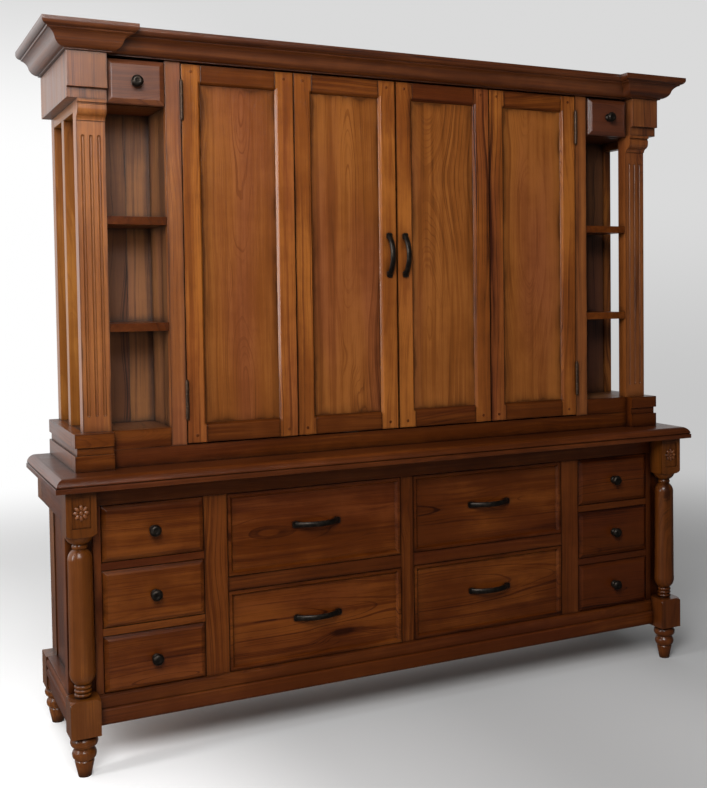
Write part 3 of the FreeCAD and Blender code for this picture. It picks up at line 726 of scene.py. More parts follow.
STILE_WOOD = WoodFinish(
    "door_stile_lacquer",
    dark=(0.040, 0.0090, 0.0020, 1.0),
    body=(0.172, 0.0470, 0.0075, 1.0),
    bright=(0.290, 0.0930, 0.0150, 1.0),
    ring_width=0.016,
    ring_depth=0.58,
    ring_start=0.60,
    streak_depth=0.50,
    blotch_depth=1.2,
    rim_width=0.007,
    lacquer=0.30,
    lacquer_roughness=0.15,
)
# Darker than the stiles: painted shade for the crown's shadow on the top rails and for the cross grain
# catching less light.
RAIL_WOOD = WoodFinish(
    "door_rail_lacquer",
    dark=(0.026, 0.0056, 0.0013, 1.0),
    body=(0.078, 0.0178, 0.0024, 1.0),
    bright=(0.148, 0.0400, 0.0055, 1.0),
)
PANEL_WOOD = WoodFinish(
    "door_panel_lacquer",
    dark=(0.062, 0.0160, 0.0032, 1.0),
    body=(0.170, 0.0500, 0.0085, 1.0),
    bright=(0.255, 0.0840, 0.0160, 1.0),
    ring_width=0.013,
    ring_depth=0.42,
    ring_start=0.50,
    streak_depth=0.50,
    knots=0.4,
    corner_shade_reach=0.030,
    rim_width=0.040,
)
DRAWER_WOOD = WoodFinish(
    "drawer_wood_lacquer",
    dark=(0.019, 0.0036, 0.0006, 1.0),
    body=(0.075, 0.0156, 0.0014, 1.0),
    bright=(0.150, 0.0390, 0.0040, 1.0),
    ring_width=0.020,
    ring_depth=0.42,
    ring_start=0.60,
    streak_depth=0.60,
    blotch_depth=1.1,
    corner_shade_reach=0.012,
    rim_width=0.022,
    rim_depth=0.55,
)
HUTCH_DRAWER_WOOD = WoodFinish(
    "hutch_drawer_lacquer",
    dark=(0.022, 0.0050, 0.0016, 1.0),
    body=(0.084, 0.0200, 0.0048, 1.0),
    bright=(0.160, 0.0440, 0.0090, 1.0),
    corner_shade_reach=0.012,
    rim_width=0.018,
    rim_depth=0.40,
    gloss=0.60,
    roughness=0.42,
)
INNER_WOOD = WoodFinish(
    "inner_wood_stain",
    dark=(0.026, 0.0085, 0.0030, 1.0),
    body=(0.100, 0.0340, 0.0095, 1.0),
    bright=(0.200, 0.0780, 0.0215, 1.0),
    roughness=0.46,
    gloss=0.40,
    lacquer=0.02,
    ring_width=0.034,
    ring_depth=0.50,
    ring_start=0.76,
)
DARK_BRONZE = MetalFinish(
    "dark_bronze_patina",
    dark=(0.020, 0.0158, 0.0125, 1.0),
    rubbed=(0.095, 0.0680, 0.0480, 1.0),
)
HINGE_BRONZE = MetalFinish(
    "hinge_bronze_patina",
    dark=(0.036, 0.0180, 0.0090, 1.0),
    rubbed=(0.120, 0.0680, 0.0360, 1.0),
    rub=0.5,
    metallic=0.6,
)


# --------------------------------------------------------------------------
# Boards
# --------------------------------------------------------------------------

# Corners in the same cell are one corner, with this many cells in a metre.
CELLS = 1e5


def closed_solids(mesh: bpy.types.Mesh) -> list[np.ndarray]:
    """Splits a node's loose triangles into its closed solids.

    Args:
        mesh: the node's mesh.

    Returns:
        One array of triangle corners for each solid.
    """
    points = np.zeros(len(mesh.vertices) * 3)
    mesh.vertices.foreach_get("co", points)
    points = points.reshape(-1, 3)
    corners = np.zeros(len(mesh.loops), int)
    mesh.loops.foreach_get("vertex_index", corners)
    keys = np.unique(np.round(points * CELLS).astype(np.int64), axis=0, return_inverse=True)[1].ravel()
    rows = keys[corners].reshape(-1, 3).tolist()
    triangles = points[corners].reshape(-1, 3, 3)
    waiting: dict[tuple[int, int], int] = {}
    found, start = [], 0
    for number, (a, b, c) in enumerate(rows):
        if len({a, b, c}) < 3:
            continue
        for edge in ((a, b), (b, c), (c, a)):
            back = (edge[1], edge[0])
            if waiting.get(back):
                waiting[back] -= 1
                if not waiting[back]:
                    del waiting[back]
            else:
                waiting[edge] = waiting.get(edge, 0) + 1
        if not waiting:
            found.append(triangles[start : number + 1])
            start = number + 1
    if start < len(triangles):
        found.append(triangles[start:])
    return found


@dataclass
class Boards:
    """The boards of one CAD node, with eased arrises and the grain of each its own.

    A board's tone comes from tones in turn, or by chance where there are none, and it loses
    painted_shade_to_right for each metre to the right of left_end: painted shade, darker to the right
    where less light falls. A plank of more than 0 cuts a wide board into planks about that wide. From a
    board's lowest and highest corners, is_second says whether it has the second finish.
    """

    node: str
    finish: WoodFinish
    slot: Slot
    grain: Grain = Grain.LONGEST
    ease: float = 0.0011
    smooth_angle: float = 32.0
    sharp_margin: float = 6.0
    ease_steps: int = 2
    ease_profile: float = 0.6
    flat_angle: float = 0.5
    second_finish: Optional[WoodFinish] = None
    is_second: Optional[Callable[[Vector, Vector], bool]] = None
    end_reach: float = 0.13
    plank: float = 0.0
    tones: tuple[float, ...] = ()
    tone_spread: float = 0.8
    tone_limit: float = 1.6
    painted_shade_to_right: float = 0.0
    left_end: float = -0.95
    wide: float = 0.11
    heart_in_wide: Span = (-0.05, 0.05)
    heart_beside: Span = (0.05, 0.14)
    heart_depth: Span = (0.02, 0.06)
    log_length: float = 40.0
    broad_face: float = 0.6

    def build(self) -> bpy.types.Object:
        """Makes the piece, hides the CAD node that it stands for, and lets it ride with that node's body.

        Returns:
            The finished piece.
        """
        source = frame["nodes"][self.node]
        chance = np.random.default_rng(zlib.crc32(self.node.encode()))
        whole = bmesh.new()
        for number, triangles in enumerate(closed_solids(source.data)):
            self._add_board(whole, triangles, chance, number)
        mesh = bpy.data.meshes.new(self.node + "_wood")
        whole.to_mesh(mesh)
        whole.free()
        for finish in filter(None, (self.finish, self.second_finish)):
            mesh.materials.append(finish.material())
        piece = new_object(self.node + "_wood", mesh)
        shading = piece.modifiers.new("even faces", "WEIGHTED_NORMAL")
        shading.keep_sharp = True
        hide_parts(self.node)
        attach(piece, body_of(source)[0])
        log.info("%s: %d faces", piece.name, len(mesh.polygons))
        return piece

    def _add_board(
        self, whole: bmesh.types.BMesh, triangles: np.ndarray, chance: np.random.Generator, number: int
    ) -> None:
        """Adds one board.

        Args:
            whole: the piece's mesh so far.
            triangles: the board's triangle corners.
            chance: the source of this node's random numbers.
            number: how many boards the piece already has.
        """
        board = bmesh.new()
        for corners in triangles:
            board.faces.new([board.verts.new(p) for p in corners])
        bmesh.ops.remove_doubles(board, verts=board.verts, dist=1.0 / CELLS)
        flat = math.radians(self.flat_angle)
        bmesh.ops.dissolve_limit(
            board, angle_limit=flat, verts=board.verts, edges=board.edges, delimit={"NORMAL"}
        )
        for place, part in enumerate(self._planks(board), 0 if self.plank else number):
            shade = self.tones[place % len(self.tones)] if self.tones else None
            self._finish_board(whole, part, chance, shade)

    def _planks(self, board: bmesh.types.BMesh) -> list[bmesh.types.BMesh]:
        """Cuts a wide board into the upright planks that it is made of.

        Args:
            board: the whole board.

        Returns:
            The planks, or the board itself where it has none.
        """
        if not self.plank:
            return [board]
        ends = [v.co.x for v in board.verts]
        low, high = min(ends), max(ends)
        count = max(1, round((high - low) / self.plank))
        cuts = [low + (high - low) * k / count for k in range(count + 1)]
        planks = []
        for start, end in zip(cuts, cuts[1:]):
            plank = board.copy()
            for place, facing in ((start, -1.0), (end, 1.0)):
                if low < place < high:
                    geom = plank.verts[:] + plank.edges[:] + plank.faces[:]
                    cut = bmesh.ops.bisect_plane(
                        plank, geom=geom, plane_co=(place, 0, 0), plane_no=(facing, 0, 0), clear_outer=True
                    )
                    rim = [part for part in cut["geom_cut"] if isinstance(part, bmesh.types.BMEdge)]
                    bmesh.ops.contextual_create(plank, geom=rim)
            planks.append(plank)
        board.free()
        return planks

    def _finish_board(
        self,
        whole: bmesh.types.BMesh,
        board: bmesh.types.BMesh,
        chance: np.random.Generator,
        shade: Optional[float],
    ) -> None:
        """Eases a board's arrises, lays its grain and adds it to the piece.

        Args:
            whole: the piece's mesh so far.
            board: the board.
            chance: the source of this node's random numbers.
            shade: the board's tone, or None for one drawn by chance.
        """
        if self.ease > 0.0:
            limit = math.radians(self.smooth_angle)
            arrises = [
                edge
                for edge in board.edges
                if len(edge.link_faces) == 2 and edge.is_convex and edge.calc_face_angle() > limit
            ]
            bmesh.ops.bevel(
                board,
                geom=arrises,
                offset=self.ease,
                segments=self.ease_steps,
                profile=self.ease_profile,
                affect="EDGES",
                clamp_overlap=True,
            )
        bmesh.ops.recalc_face_normals(board, faces=board.faces)
        self._shade(board)
        self._lay_grain(board, chance, shade)
        part = bpy.data.meshes.new("board")
        board.to_mesh(part)
        board.free()
        whole.from_mesh(part)
        bpy.data.meshes.remove(part)

    def _shade(self, board: bmesh.types.BMesh) -> None:
        """Smooths a board's faces, with an edge kept sharp where two faces meet steeply.

        Args:
            board: the board.
        """
        limit = math.radians(self.smooth_angle + self.sharp_margin)
        for face in board.faces:
            face.smooth = True
        for edge in board.edges:
            edge.smooth = len(edge.link_faces) == 2 and edge.calc_face_angle() < limit

    def _axes(self, size: Vector) -> tuple[int, int, int]:
        """Which axes run across, through and along a board.

        Args:
            size: the board's three sizes.

        Returns:
            The axes across, through and along.
        """
        fixed = {Grain.ACROSS: 0, Grain.UPRIGHT: 2, Grain.MITRED: 0}
        order = sorted(range(3), key=lambda axis: size[axis])
        along = fixed.get(self.grain, order[2])
        others = [axis for axis in order if axis != along]
        return others[1], others[0], along

    def _lay_grain(
        self, board: bmesh.types.BMesh, chance: np.random.Generator, shade: Optional[float]
    ) -> None:
        """Writes where each corner lies in the log that the board was sawn from, and the board's tone with
        its painted shade to the right.

        Args:
            board: the board.
            chance: the source of this node's random numbers.
            shade: the board's tone, or None for one drawn by chance.
        """
        spots = np.array([v.co for v in board.verts])
        low, high = Vector(spots.min(0)), Vector(spots.max(0))
        across, through, along = self._axes(high - low)
        if (high - low)[across] > self.wide:
            heart = chance.uniform(*self.heart_in_wide)
        else:
            heart = chance.choice((-1.0, 1.0)) * chance.uniform(*self.heart_beside)
        depth = chance.uniform(*self.heart_depth)
        start = chance.uniform(0.0, self.log_length)
        drawn = float(np.clip(chance.normal(0.0, self.tone_spread), -self.tone_limit, self.tone_limit))
        middle, halves = (low + high) / 2, (high - low) / 2
        # Painted shade: the further right a board stands, the darker it is, as less light falls there.
        shade = (drawn if shade is None else shade) - self.painted_shade_to_right * (middle.x - self.left_end)
        second = self.is_second is not None and self.is_second(low, high)
        layers = board.loops.layers
        grained = layers.float_vector.new("board")
        toned = layers.float.new("tone")
        rim = layers.float_vector.new("rim")
        half = layers.float_vector.new("half")
        for face in board.faces:
            face.material_index = 1 if second else 0
            axes = (across, through, along)
            if self.grain is Grain.MITRED and self._on_end(face, low, high):
                axes = (0 if through != 0 else 2, 2 if through != 0 else 0, 1)
            broad = 1.0 if abs(face.normal[through]) > self.broad_face else 0.0
            for loop in face.loops:
                away = loop.vert.co - middle
                loop[grained] = (away[axes[0]] + heart, away[axes[1]] + depth, away[axes[2]] + start)
                loop[toned] = shade
                loop[rim] = (away[across], away[along], 0.0)
                loop[half] = (halves[across], halves[along], broad)

    def _on_end(self, face: bmesh.types.BMFace, low: Vector, high: Vector) -> bool:
        """Whether a face lies on the end of a mitred moulding rather than its front.

        Args:
            face: the face.
            low: the board's lowest corner.
            high: its highest corner.

        Returns:
            True on an end.
        """
        spot = face.calc_center_median()
        from_side = min(spot.x - low.x, high.x - spot.x)
        return from_side < self.end_reach and from_side < spot.y - low.y


# --------------------------------------------------------------------------
# Small repeated parts
# --------------------------------------------------------------------------


class Parts(Group):
    """A small carved or turned part at each given point, in real faces with their grain and material."""

    kind = "GeometryNodeTree"
    outputs = {"Geometry": SHAPE}
    segments = 16
    rings = 8

    def ball(self, t: Tree) -> Socket:
        """A ball of radius 1 m, to be made smaller."""
        sizes = {"Segments": self.segments, "Rings": self.rings, "Radius": 1.0}
        return t.node("GeometryNodeMeshUVSphere", sizes).outputs[0]

    def part(self, t: Tree, given: dict[str, Socket]) -> dict[str, object]:
        """Makes the part.

        Args:
            t: the geometry tree.
            given: the tree's inputs by name.

        Returns:
            What to put at each point, and how large.
        """
        raise NotImplementedError

    def build(self, t: Tree, given: dict[str, Socket]) -> dict[str, Socket]:
        """Puts the part at each point, with the grain running front to back.

        Args:
            t: the geometry tree.
            given: the tree's inputs by name.

        Returns:
            The finished parts.
        """
        placed = dict(self.part(t, given), Points=given["Places"])
        shape = t.node("GeometryNodeInstanceOnPoints", placed).outputs[0]
        real = t.node("GeometryNodeRealizeInstances", {0: shape}).outputs[0]
        across, along, up = t.split(t.node("GeometryNodeInputPosition").outputs[0])
        grain = {"Geometry": real, "Name": "board", "Value": t.join((across, up, along))}
        grained = t.node("GeometryNodeStoreNamedAttribute", grain, data_type="FLOAT_VECTOR", domain="CORNER")
        smooth = t.node("GeometryNodeSetShadeSmooth", {0: grained.outputs[0]}).outputs[0]
        painted = t.node("GeometryNodeSetMaterial", {"Geometry": smooth, "Material": given["Material"]})
        return {"Geometry": painted.outputs[0]}


class Pegs(Parts):
    """Domed pegs, facing forward."""

    name = "pegs_at_points"
    inputs = {"Places": SHAPE, "Radius": NUMBER, "Rise": NUMBER, "Material": MATERIAL}

    def part(self, t: Tree, given: dict[str, Socket]) -> dict[str, object]:
        """A flattened ball.

        Args:
            t: the geometry tree.
            given: the tree's inputs by name.

        Returns:
            What to put at each point, and how large.
        """
        return {"Instance": self.ball(t), "Scale": t.join((given["Radius"], given["Rise"], given["Radius"]))}


class Rosettes(Parts):
    """Carved flowers: petals in a ring round a boss."""

    name = "rosettes_at_points"
    rings = 10
    inputs = {
        "Places": SHAPE,
        "Petals": WHOLE,
        "Ring Radius": NUMBER,
        "Petal Length": NUMBER,
        "Petal Width": NUMBER,
        "Rise": NUMBER,
        "Boss Radius": NUMBER,
        "Boss Rise": NUMBER,
        "Material": MATERIAL,
    }

    def part(self, t: Tree, given: dict[str, Socket]) -> dict[str, object]:
        """A ring of petals, each turned outwards, and a boss in the middle.

        Args:
            t: the geometry tree.
            given: the tree's inputs by name.

        Returns:
            What to put at each point.
        """
        ball = self.ball(t)
        circle = {"Vertices": given["Petals"], "Radius": given["Ring Radius"]}
        ring = t.node("GeometryNodeMeshCircle", circle).outputs[0]
        forward = {"Geometry": ring, "Rotation": (math.pi / 2, 0.0, 0.0)}
        step = t.math("DIVIDE", -2 * math.pi, given["Petals"])
        petals = {
            "Points": t.node("GeometryNodeTransform", forward).outputs[0],
            "Instance": ball,
            "Rotation": t.join((0.0, t.times(t.node("GeometryNodeInputIndex").outputs[0], step), 0.0)),
            "Scale": t.join((given["Petal Length"], given["Rise"], given["Petal Width"])),
        }
        size = t.join((given["Boss Radius"], given["Boss Rise"], given["Boss Radius"]))
        boss = t.node("GeometryNodeTransform", {"Geometry": ball, "Scale": size})
        flower = t.node("GeometryNodeJoinGeometry")
        t.feed(flower.inputs[0], t.node("GeometryNodeInstanceOnPoints", petals).outputs[0])
        t.feed(flower.inputs[0], boss.outputs[0])
        return {"Instance": t.node("GeometryNodeGeometryToInstance", {0: flower.outputs[0]}).outputs[0]}


@dataclass
class Scatter:
    """Small parts of one kind, one at each given place, as a single piece."""

    name: str
    parts: Parts
    places: list[Point]
    sizes: dict[str, float]
    finish: WoodFinish
    slot: Slot
    body: str

    def build(self) -> bpy.types.Object:
        """Makes the piece and lets it ride with its body.

        Returns:
            The finished piece.
        """
        spots = bpy.data.meshes.new(self.name + "_places")
        spots.from_pydata(self.places, [], [])
        holder = new_object(self.name + "_places", spots)
        modifier = holder.modifiers.new("parts", "NODES")
        modifier.node_group = self.parts.tree()
        values = dict(self.sizes, Material=self.finish.material())
        for item in modifier.node_group.interface.items_tree:
            if item.item_type == "SOCKET" and item.in_out == "INPUT" and item.name in values:
                modifier[item.identifier] = values[item.name]
        seen = holder.evaluated_get(bpy.context.evaluated_depsgraph_get())
        mesh = bpy.data.meshes.new_from_object(seen)
        bpy.data.objects.remove(holder)
        mesh.name = self.name
        piece = new_object(self.name, mesh)
        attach(piece, self.body)
        log.info("%s: %d faces", piece.name, len(mesh.polygons))
        return piece


# --------------------------------------------------------------------------
# Sub-assemblies
# --------------------------------------------------------------------------


@dataclass
class BaseCabinet:
    """The lower cabinet: moulded top, turned posts, face frame, sides and back."""

    ease: float = 0.0012
    post_axis: float = 0.936
    plaque_depth: float = 0.003
    rosette_height: float = 0.68275
    rosette_sizes: dict[str, float] = field(
        default_factory=lambda: {
            "Petals": 8,
            "Ring Radius": 0.013,
            "Petal Length": 0.008,
            "Petal Width": 0.005,
            "Rise": 0.0035,
            "Boss Radius": 0.0065,
            "Boss Rise": 0.0042,
        }
    )
    # Painted shade, darker to the right: how fast the posts and the face frame darken per metre.
    post_shade_to_right: float = 0.6
    frame_shade_to_right: float = 1.4
    frame_left_end: float = -0.65
    panel_tone: float = -1.2
    back_plank: float = 0.12
    frame_nodes: tuple[str, ...] = ("base_face_frame", "base_side_rails")
    inner_nodes: tuple[str, ...] = ("base_partitions", "drawer_runners")

    def build(self) -> None:
        """Makes the cabinet's boards."""
        Boards("base_top", TOP_WOOD, Slot.TOP, Grain.MITRED, self.ease).build()
        for node in ("front_posts", "rear_posts"):
            Boards(node, POST_WOOD, Slot.CASE, Grain.UPRIGHT, 0.0, painted_shade_to_right=self.post_shade_to_right).build()
        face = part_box("front_posts")[0].y + self.plaque_depth
        places = [(x, face, self.rosette_height) for x in (-self.post_axis, self.post_axis)]
        Scatter(
            "post_rosettes", Rosettes(), places, self.rosette_sizes, FRIEZE_WOOD, Slot.CASE, "case"
        ).build()
        for node in self.frame_nodes:
            Boards(
                node, CASE_WOOD, Slot.CASE, ease=self.ease, painted_shade_to_right=self.frame_shade_to_right, left_end=self.frame_left_end
            ).build()
        Boards(
            "base_side_panels", CASE_WOOD, Slot.CASE, Grain.UPRIGHT, self.ease, tones=(self.panel_tone,)
        ).build()
        Boards("base_back", INNER_WOOD, Slot.INNER, ease=self.ease, plank=self.back_plank).build()
        for node in self.inner_nodes:
            Boards(node, INNER_WOOD, Slot.INNER, ease=self.ease).build()


@dataclass
class Drawers:
    """The six small drawers, the four wide ones and the two in the upper case."""

    front_depth: float = 0.03
    ease: float = 0.0010
    smooth_angle: float = 20.0
    # Painted light and shade: the left drawers are toned lighter and the right ones darker, as the light
    # falls off to the right.
    tones: dict[str, float] = field(
        default_factory=lambda: {
            "small_drawer_left": 0.3,
            "small_drawer_right": -1.9,
            "wide_drawer_left": 0.3,
            "wide_drawer_right": -0.9,
            "hutch_drawer_left": 0.8,
            "hutch_drawer_right": -1.4,
        }
    )

    def build(self) -> None:
        """Makes every drawer's front and box."""
        for side in SIDES:
            for row in ROWS_OF_THREE:
                self._drawer(f"small_drawer_{side}_{row}", DRAWER_WOOD)
            for row in ROWS_OF_TWO:
                self._drawer(f"wide_drawer_{side}_{row}", DRAWER_WOOD)
            self._drawer(f"hutch_drawer_{side}", HUTCH_DRAWER_WOOD)

    def _drawer(self, node: str, finish: WoodFinish) -> None:
        """One drawer: a lacquered front on a plain box.

        Args:
            node: the CAD node.
            finish: the front's finish.
        """
        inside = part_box(node)[0].y + self.front_depth / 2
        Boards(
            node,
            finish,
            Slot.DRAWER,
            Grain.ACROSS,
            self.ease,
            self.smooth_angle,
            second_finish=INNER_WOOD,
            is_second=lambda low, high: low.y > inside,
            tones=(next(tone for start, tone in self.tones.items() if node.startswith(start)),),
        ).build()


@dataclass
class Hutch:
    """The upper case: plinth, pilasters, frieze, crown, open bays and the case behind the doors."""

    ease: float = 0.0012
    divider_front: float = -0.12
    divider_height: float = 1.0
    bay_plank: float = 0.067
    back_plank: float = 0.116
    bay_tones: tuple[float, ...] = (-1.2, -0.9, 1.3)
    upright_tones: dict[str, float] = field(
        default_factory=lambda: {"hutch_uprights": 0.3, "pilasters": 0.5, "frieze_blocks": 0.3}
    )
    plinth_tone: float = 1.2
    side_tone: float = 0.0
    # Painted shade, darker to the right: how fast each part darkens per metre.
    upright_shade_to_right: float = 0.6
    plinth_shade_to_right: float = 1.4
    bay_shade_to_right: float = 2.0
    side_shade_to_right: float = 2.0
    inner_nodes: tuple[str, ...] = ("hutch_floor", "hutch_top")

    def build(self) -> None:
        """Makes the case's boards."""
        Boards("crown", CROWN_WOOD, Slot.TOP, Grain.MITRED, self.ease).build()
        self._toned("hutch_plinth", CASE_WOOD, self.plinth_tone, self.plinth_shade_to_right)
        for node, tone in self.upright_tones.items():
            Boards(
                node,
                FRIEZE_WOOD if node == "frieze_blocks" else PILASTER_WOOD,
                Slot.CASE,
                Grain.UPRIGHT,
                self.ease,
                second_finish=INNER_WOOD,
                is_second=self._is_divider,
                tones=(tone,),
                painted_shade_to_right=self.upright_shade_to_right,
            ).build()
        self._toned("hutch_side_frames", SIDE_FRAME_WOOD, self.side_tone, self.side_shade_to_right)
        Boards("bay_shelves", CASE_WOOD, Slot.CASE, ease=self.ease).build()
        Boards(
            "bay_backs",
            INNER_WOOD,
            Slot.INNER,
            Grain.UPRIGHT,
            self.ease,
            plank=self.bay_plank,
            tones=self.bay_tones,
            painted_shade_to_right=self.bay_shade_to_right,
        ).build()
        # An odd number of planks keeps the cable hole off their joints.
        Boards(
            "hutch_back", INNER_WOOD, Slot.INNER, Grain.UPRIGHT, self.ease, plank=self.back_plank
        ).build()
        for node in self.inner_nodes:
            Boards(node, INNER_WOOD, Slot.INNER, ease=self.ease).build()
        Boards("door_catches", INNER_WOOD, Slot.CASE, ease=self.ease).build()

    def _toned(self, node: str, finish: WoodFinish, tone: float, painted_shade_to_right: float) -> None:
        """Makes a node's boards in one tone, with painted shade darker to the right."""
        Boards(node, finish, Slot.CASE, ease=self.ease, tones=(tone,), painted_shade_to_right=painted_shade_to_right).build()

    def _is_divider(self, low: Vector, high: Vector) -> bool:
        """Whether a board is one of the tall dividers behind the face."""
        return low.y > self.divider_front and high.z - low.z > self.divider_height


@dataclass
class BifoldDoors:
    """Four framed and panelled leaves, folding in pairs, with pegged corners."""

    ease: float = 0.0020
    panel_ease: float = 0.0005
    member: float = 0.053
    peg_radius: float = 0.0042
    peg_rise: float = 0.0006
    peg_drop: float = 0.75
    rail_tones: tuple[float, ...] = (0.0, 0.3)
    stile_tones: dict[str, tuple[float, ...]] = field(
        default_factory=lambda: {
            "door_left_outer": (0.9, 2.9),
            "door_left_inner": (0.5, -0.2),
            "door_right_inner": (0.3, -0.6),
            "door_right_outer": (-0.2, 0.4),
        }
    )
    panel_tones: dict[str, float] = field(
        default_factory=lambda: {
            "door_left_outer": 0.0,
            "door_left_inner": 0.3,
            "door_right_inner": 0.5,
            "door_right_outer": 0.6,
        }
    )

    def build(self) -> None:
        """Makes the leaves' frames, panels and pegs."""
        for name in (f"door_{side}_{leaf}" for side in SIDES for leaf in LEAVES):
            Boards(
                f"{name}_frame",
                STILE_WOOD,
                Slot.DOOR,
                ease=self.ease,
                second_finish=RAIL_WOOD,
                is_second=lambda low, high: high.x - low.x > high.z - low.z,
                tones=self.stile_tones[name] + self.rail_tones,
            ).build()
            Boards(
                f"{name}_panel",
                PANEL_WOOD,
                Slot.DOOR,
                Grain.UPRIGHT,
                self.panel_ease,
                tones=(self.panel_tones[name],),
            ).build()
            self._pegs(name)

    def _pegs(self, name: str) -> None:
        """Pins the corner joints of one leaf's frame.

        Args:
            name: the leaf's body.
        """
        low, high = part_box(f"{name}_frame")
        inset = self.member / 2
        drop = inset * self.peg_drop
        places = [
            (x, low.y, z) for x in (low.x + inset, high.x - inset) for z in (low.z + drop, high.z - drop)
        ]
        sizes = {"Radius": self.peg_radius, "Rise": self.peg_rise}
        Scatter(f"{name}_pegs", Pegs(), places, sizes, RAIL_WOOD, Slot.DOOR, name).build()


@dataclass
class Hardware:
    """Knobs, bow pulls and hinges."""

    def nodes(self) -> list[str]:
        """The metal nodes.

        Returns:
            Their names.
        """
        names = ["frame_hinges"]
        for side in SIDES:
            names += [f"door_{side}_{leaf}_hinges" for leaf in LEAVES]
            names += [f"knob_{side}_{row}" for row in ROWS_OF_THREE]
            names += [f"pull_{side}_{row}" for row in ROWS_OF_TWO]
            names += [f"knob_hutch_{side}", f"door_handle_{side}"]
        return names

    def build(self) -> None:
        """Gives the metal its patina."""
        for name in self.nodes():
            finish = HINGE_BRONZE if "hinges" in name else DARK_BRONZE
            for place in frame["nodes"][name].material_slots:
                place.material = finish.material()
            log.info("%s: %s", name, finish.name)


# --------------------------------------------------------------------------
# Studio
# --------------------------------------------------------------------------


@dataclass(frozen=True)
class Viewpoint:
    """The camera."""

    place: Point = (-1.4358, -3.1531, 1.2360)
    bearing: float = 28.02
    pitch: float = -2.41
    roll: float = -0.60
    focal_pixels: float = 1128.44
    centre_pixel: tuple[float, float] = (450.0, 336.32)
    picture_pixels: tuple[int, int] = (707, 788)
    sensor: float = 36.0

    def build(self) -> None:
        """Makes the camera and gives it to the scene."""
        bearing, pitch, roll = (math.radians(v) for v in (self.bearing, self.pitch, self.roll))
        ahead = Vector(
            (math.sin(bearing) * math.cos(pitch), math.cos(bearing) * math.cos(pitch), math.sin(pitch))
        )
        level = Vector((math.cos(bearing), -math.sin(bearing), 0.0))
        upright = level.cross(ahead)
        right = math.cos(roll) * level + math.sin(roll) * upright
        up = math.cos(roll) * upright - math.sin(roll) * level
        wide, high = self.picture_pixels
        data = bpy.data.cameras.new("view")
        data.sensor_width = self.sensor
        data.lens = self.focal_pixels * self.sensor / high
        data.shift_x = (wide / 2 - self.centre_pixel[0]) / high
        data.shift_y = (self.centre_pixel[1] - high / 2) / high
        camera = new_object("view", data)
        turn = Matrix((right, up, -ahead)).transposed()
        camera.matrix_world = Matrix.Translation(self.place) @ turn.to_4x4()
        bpy.context.scene.camera = camera


@dataclass(frozen=True)
class Lamp:
    """A soft box aimed at a point."""

    name: str
    place: Point
    aim: Point
    size: tuple[float, float]
    power: float

    def build(self) -> None:
        """Hangs the lamp."""
        data = bpy.data.lights.new(self.name, "AREA")
        data.shape = "RECTANGLE"
        data.size, data.size_y = self.size
        data.energy = self.power
        lamp = new_object(self.name, data)
        facing = (Vector(self.aim) - Vector(self.place)).to_track_quat("-Z", "Y")
        lamp.matrix_world = Matrix.Translation(self.place) @ facing.to_matrix().to_4x4()
        lamp.visible_camera = False


@dataclass(frozen=True)
class Glow:
    """Soft light of the room from round one direction."""

    side: Point
    span: Span
    strength: float


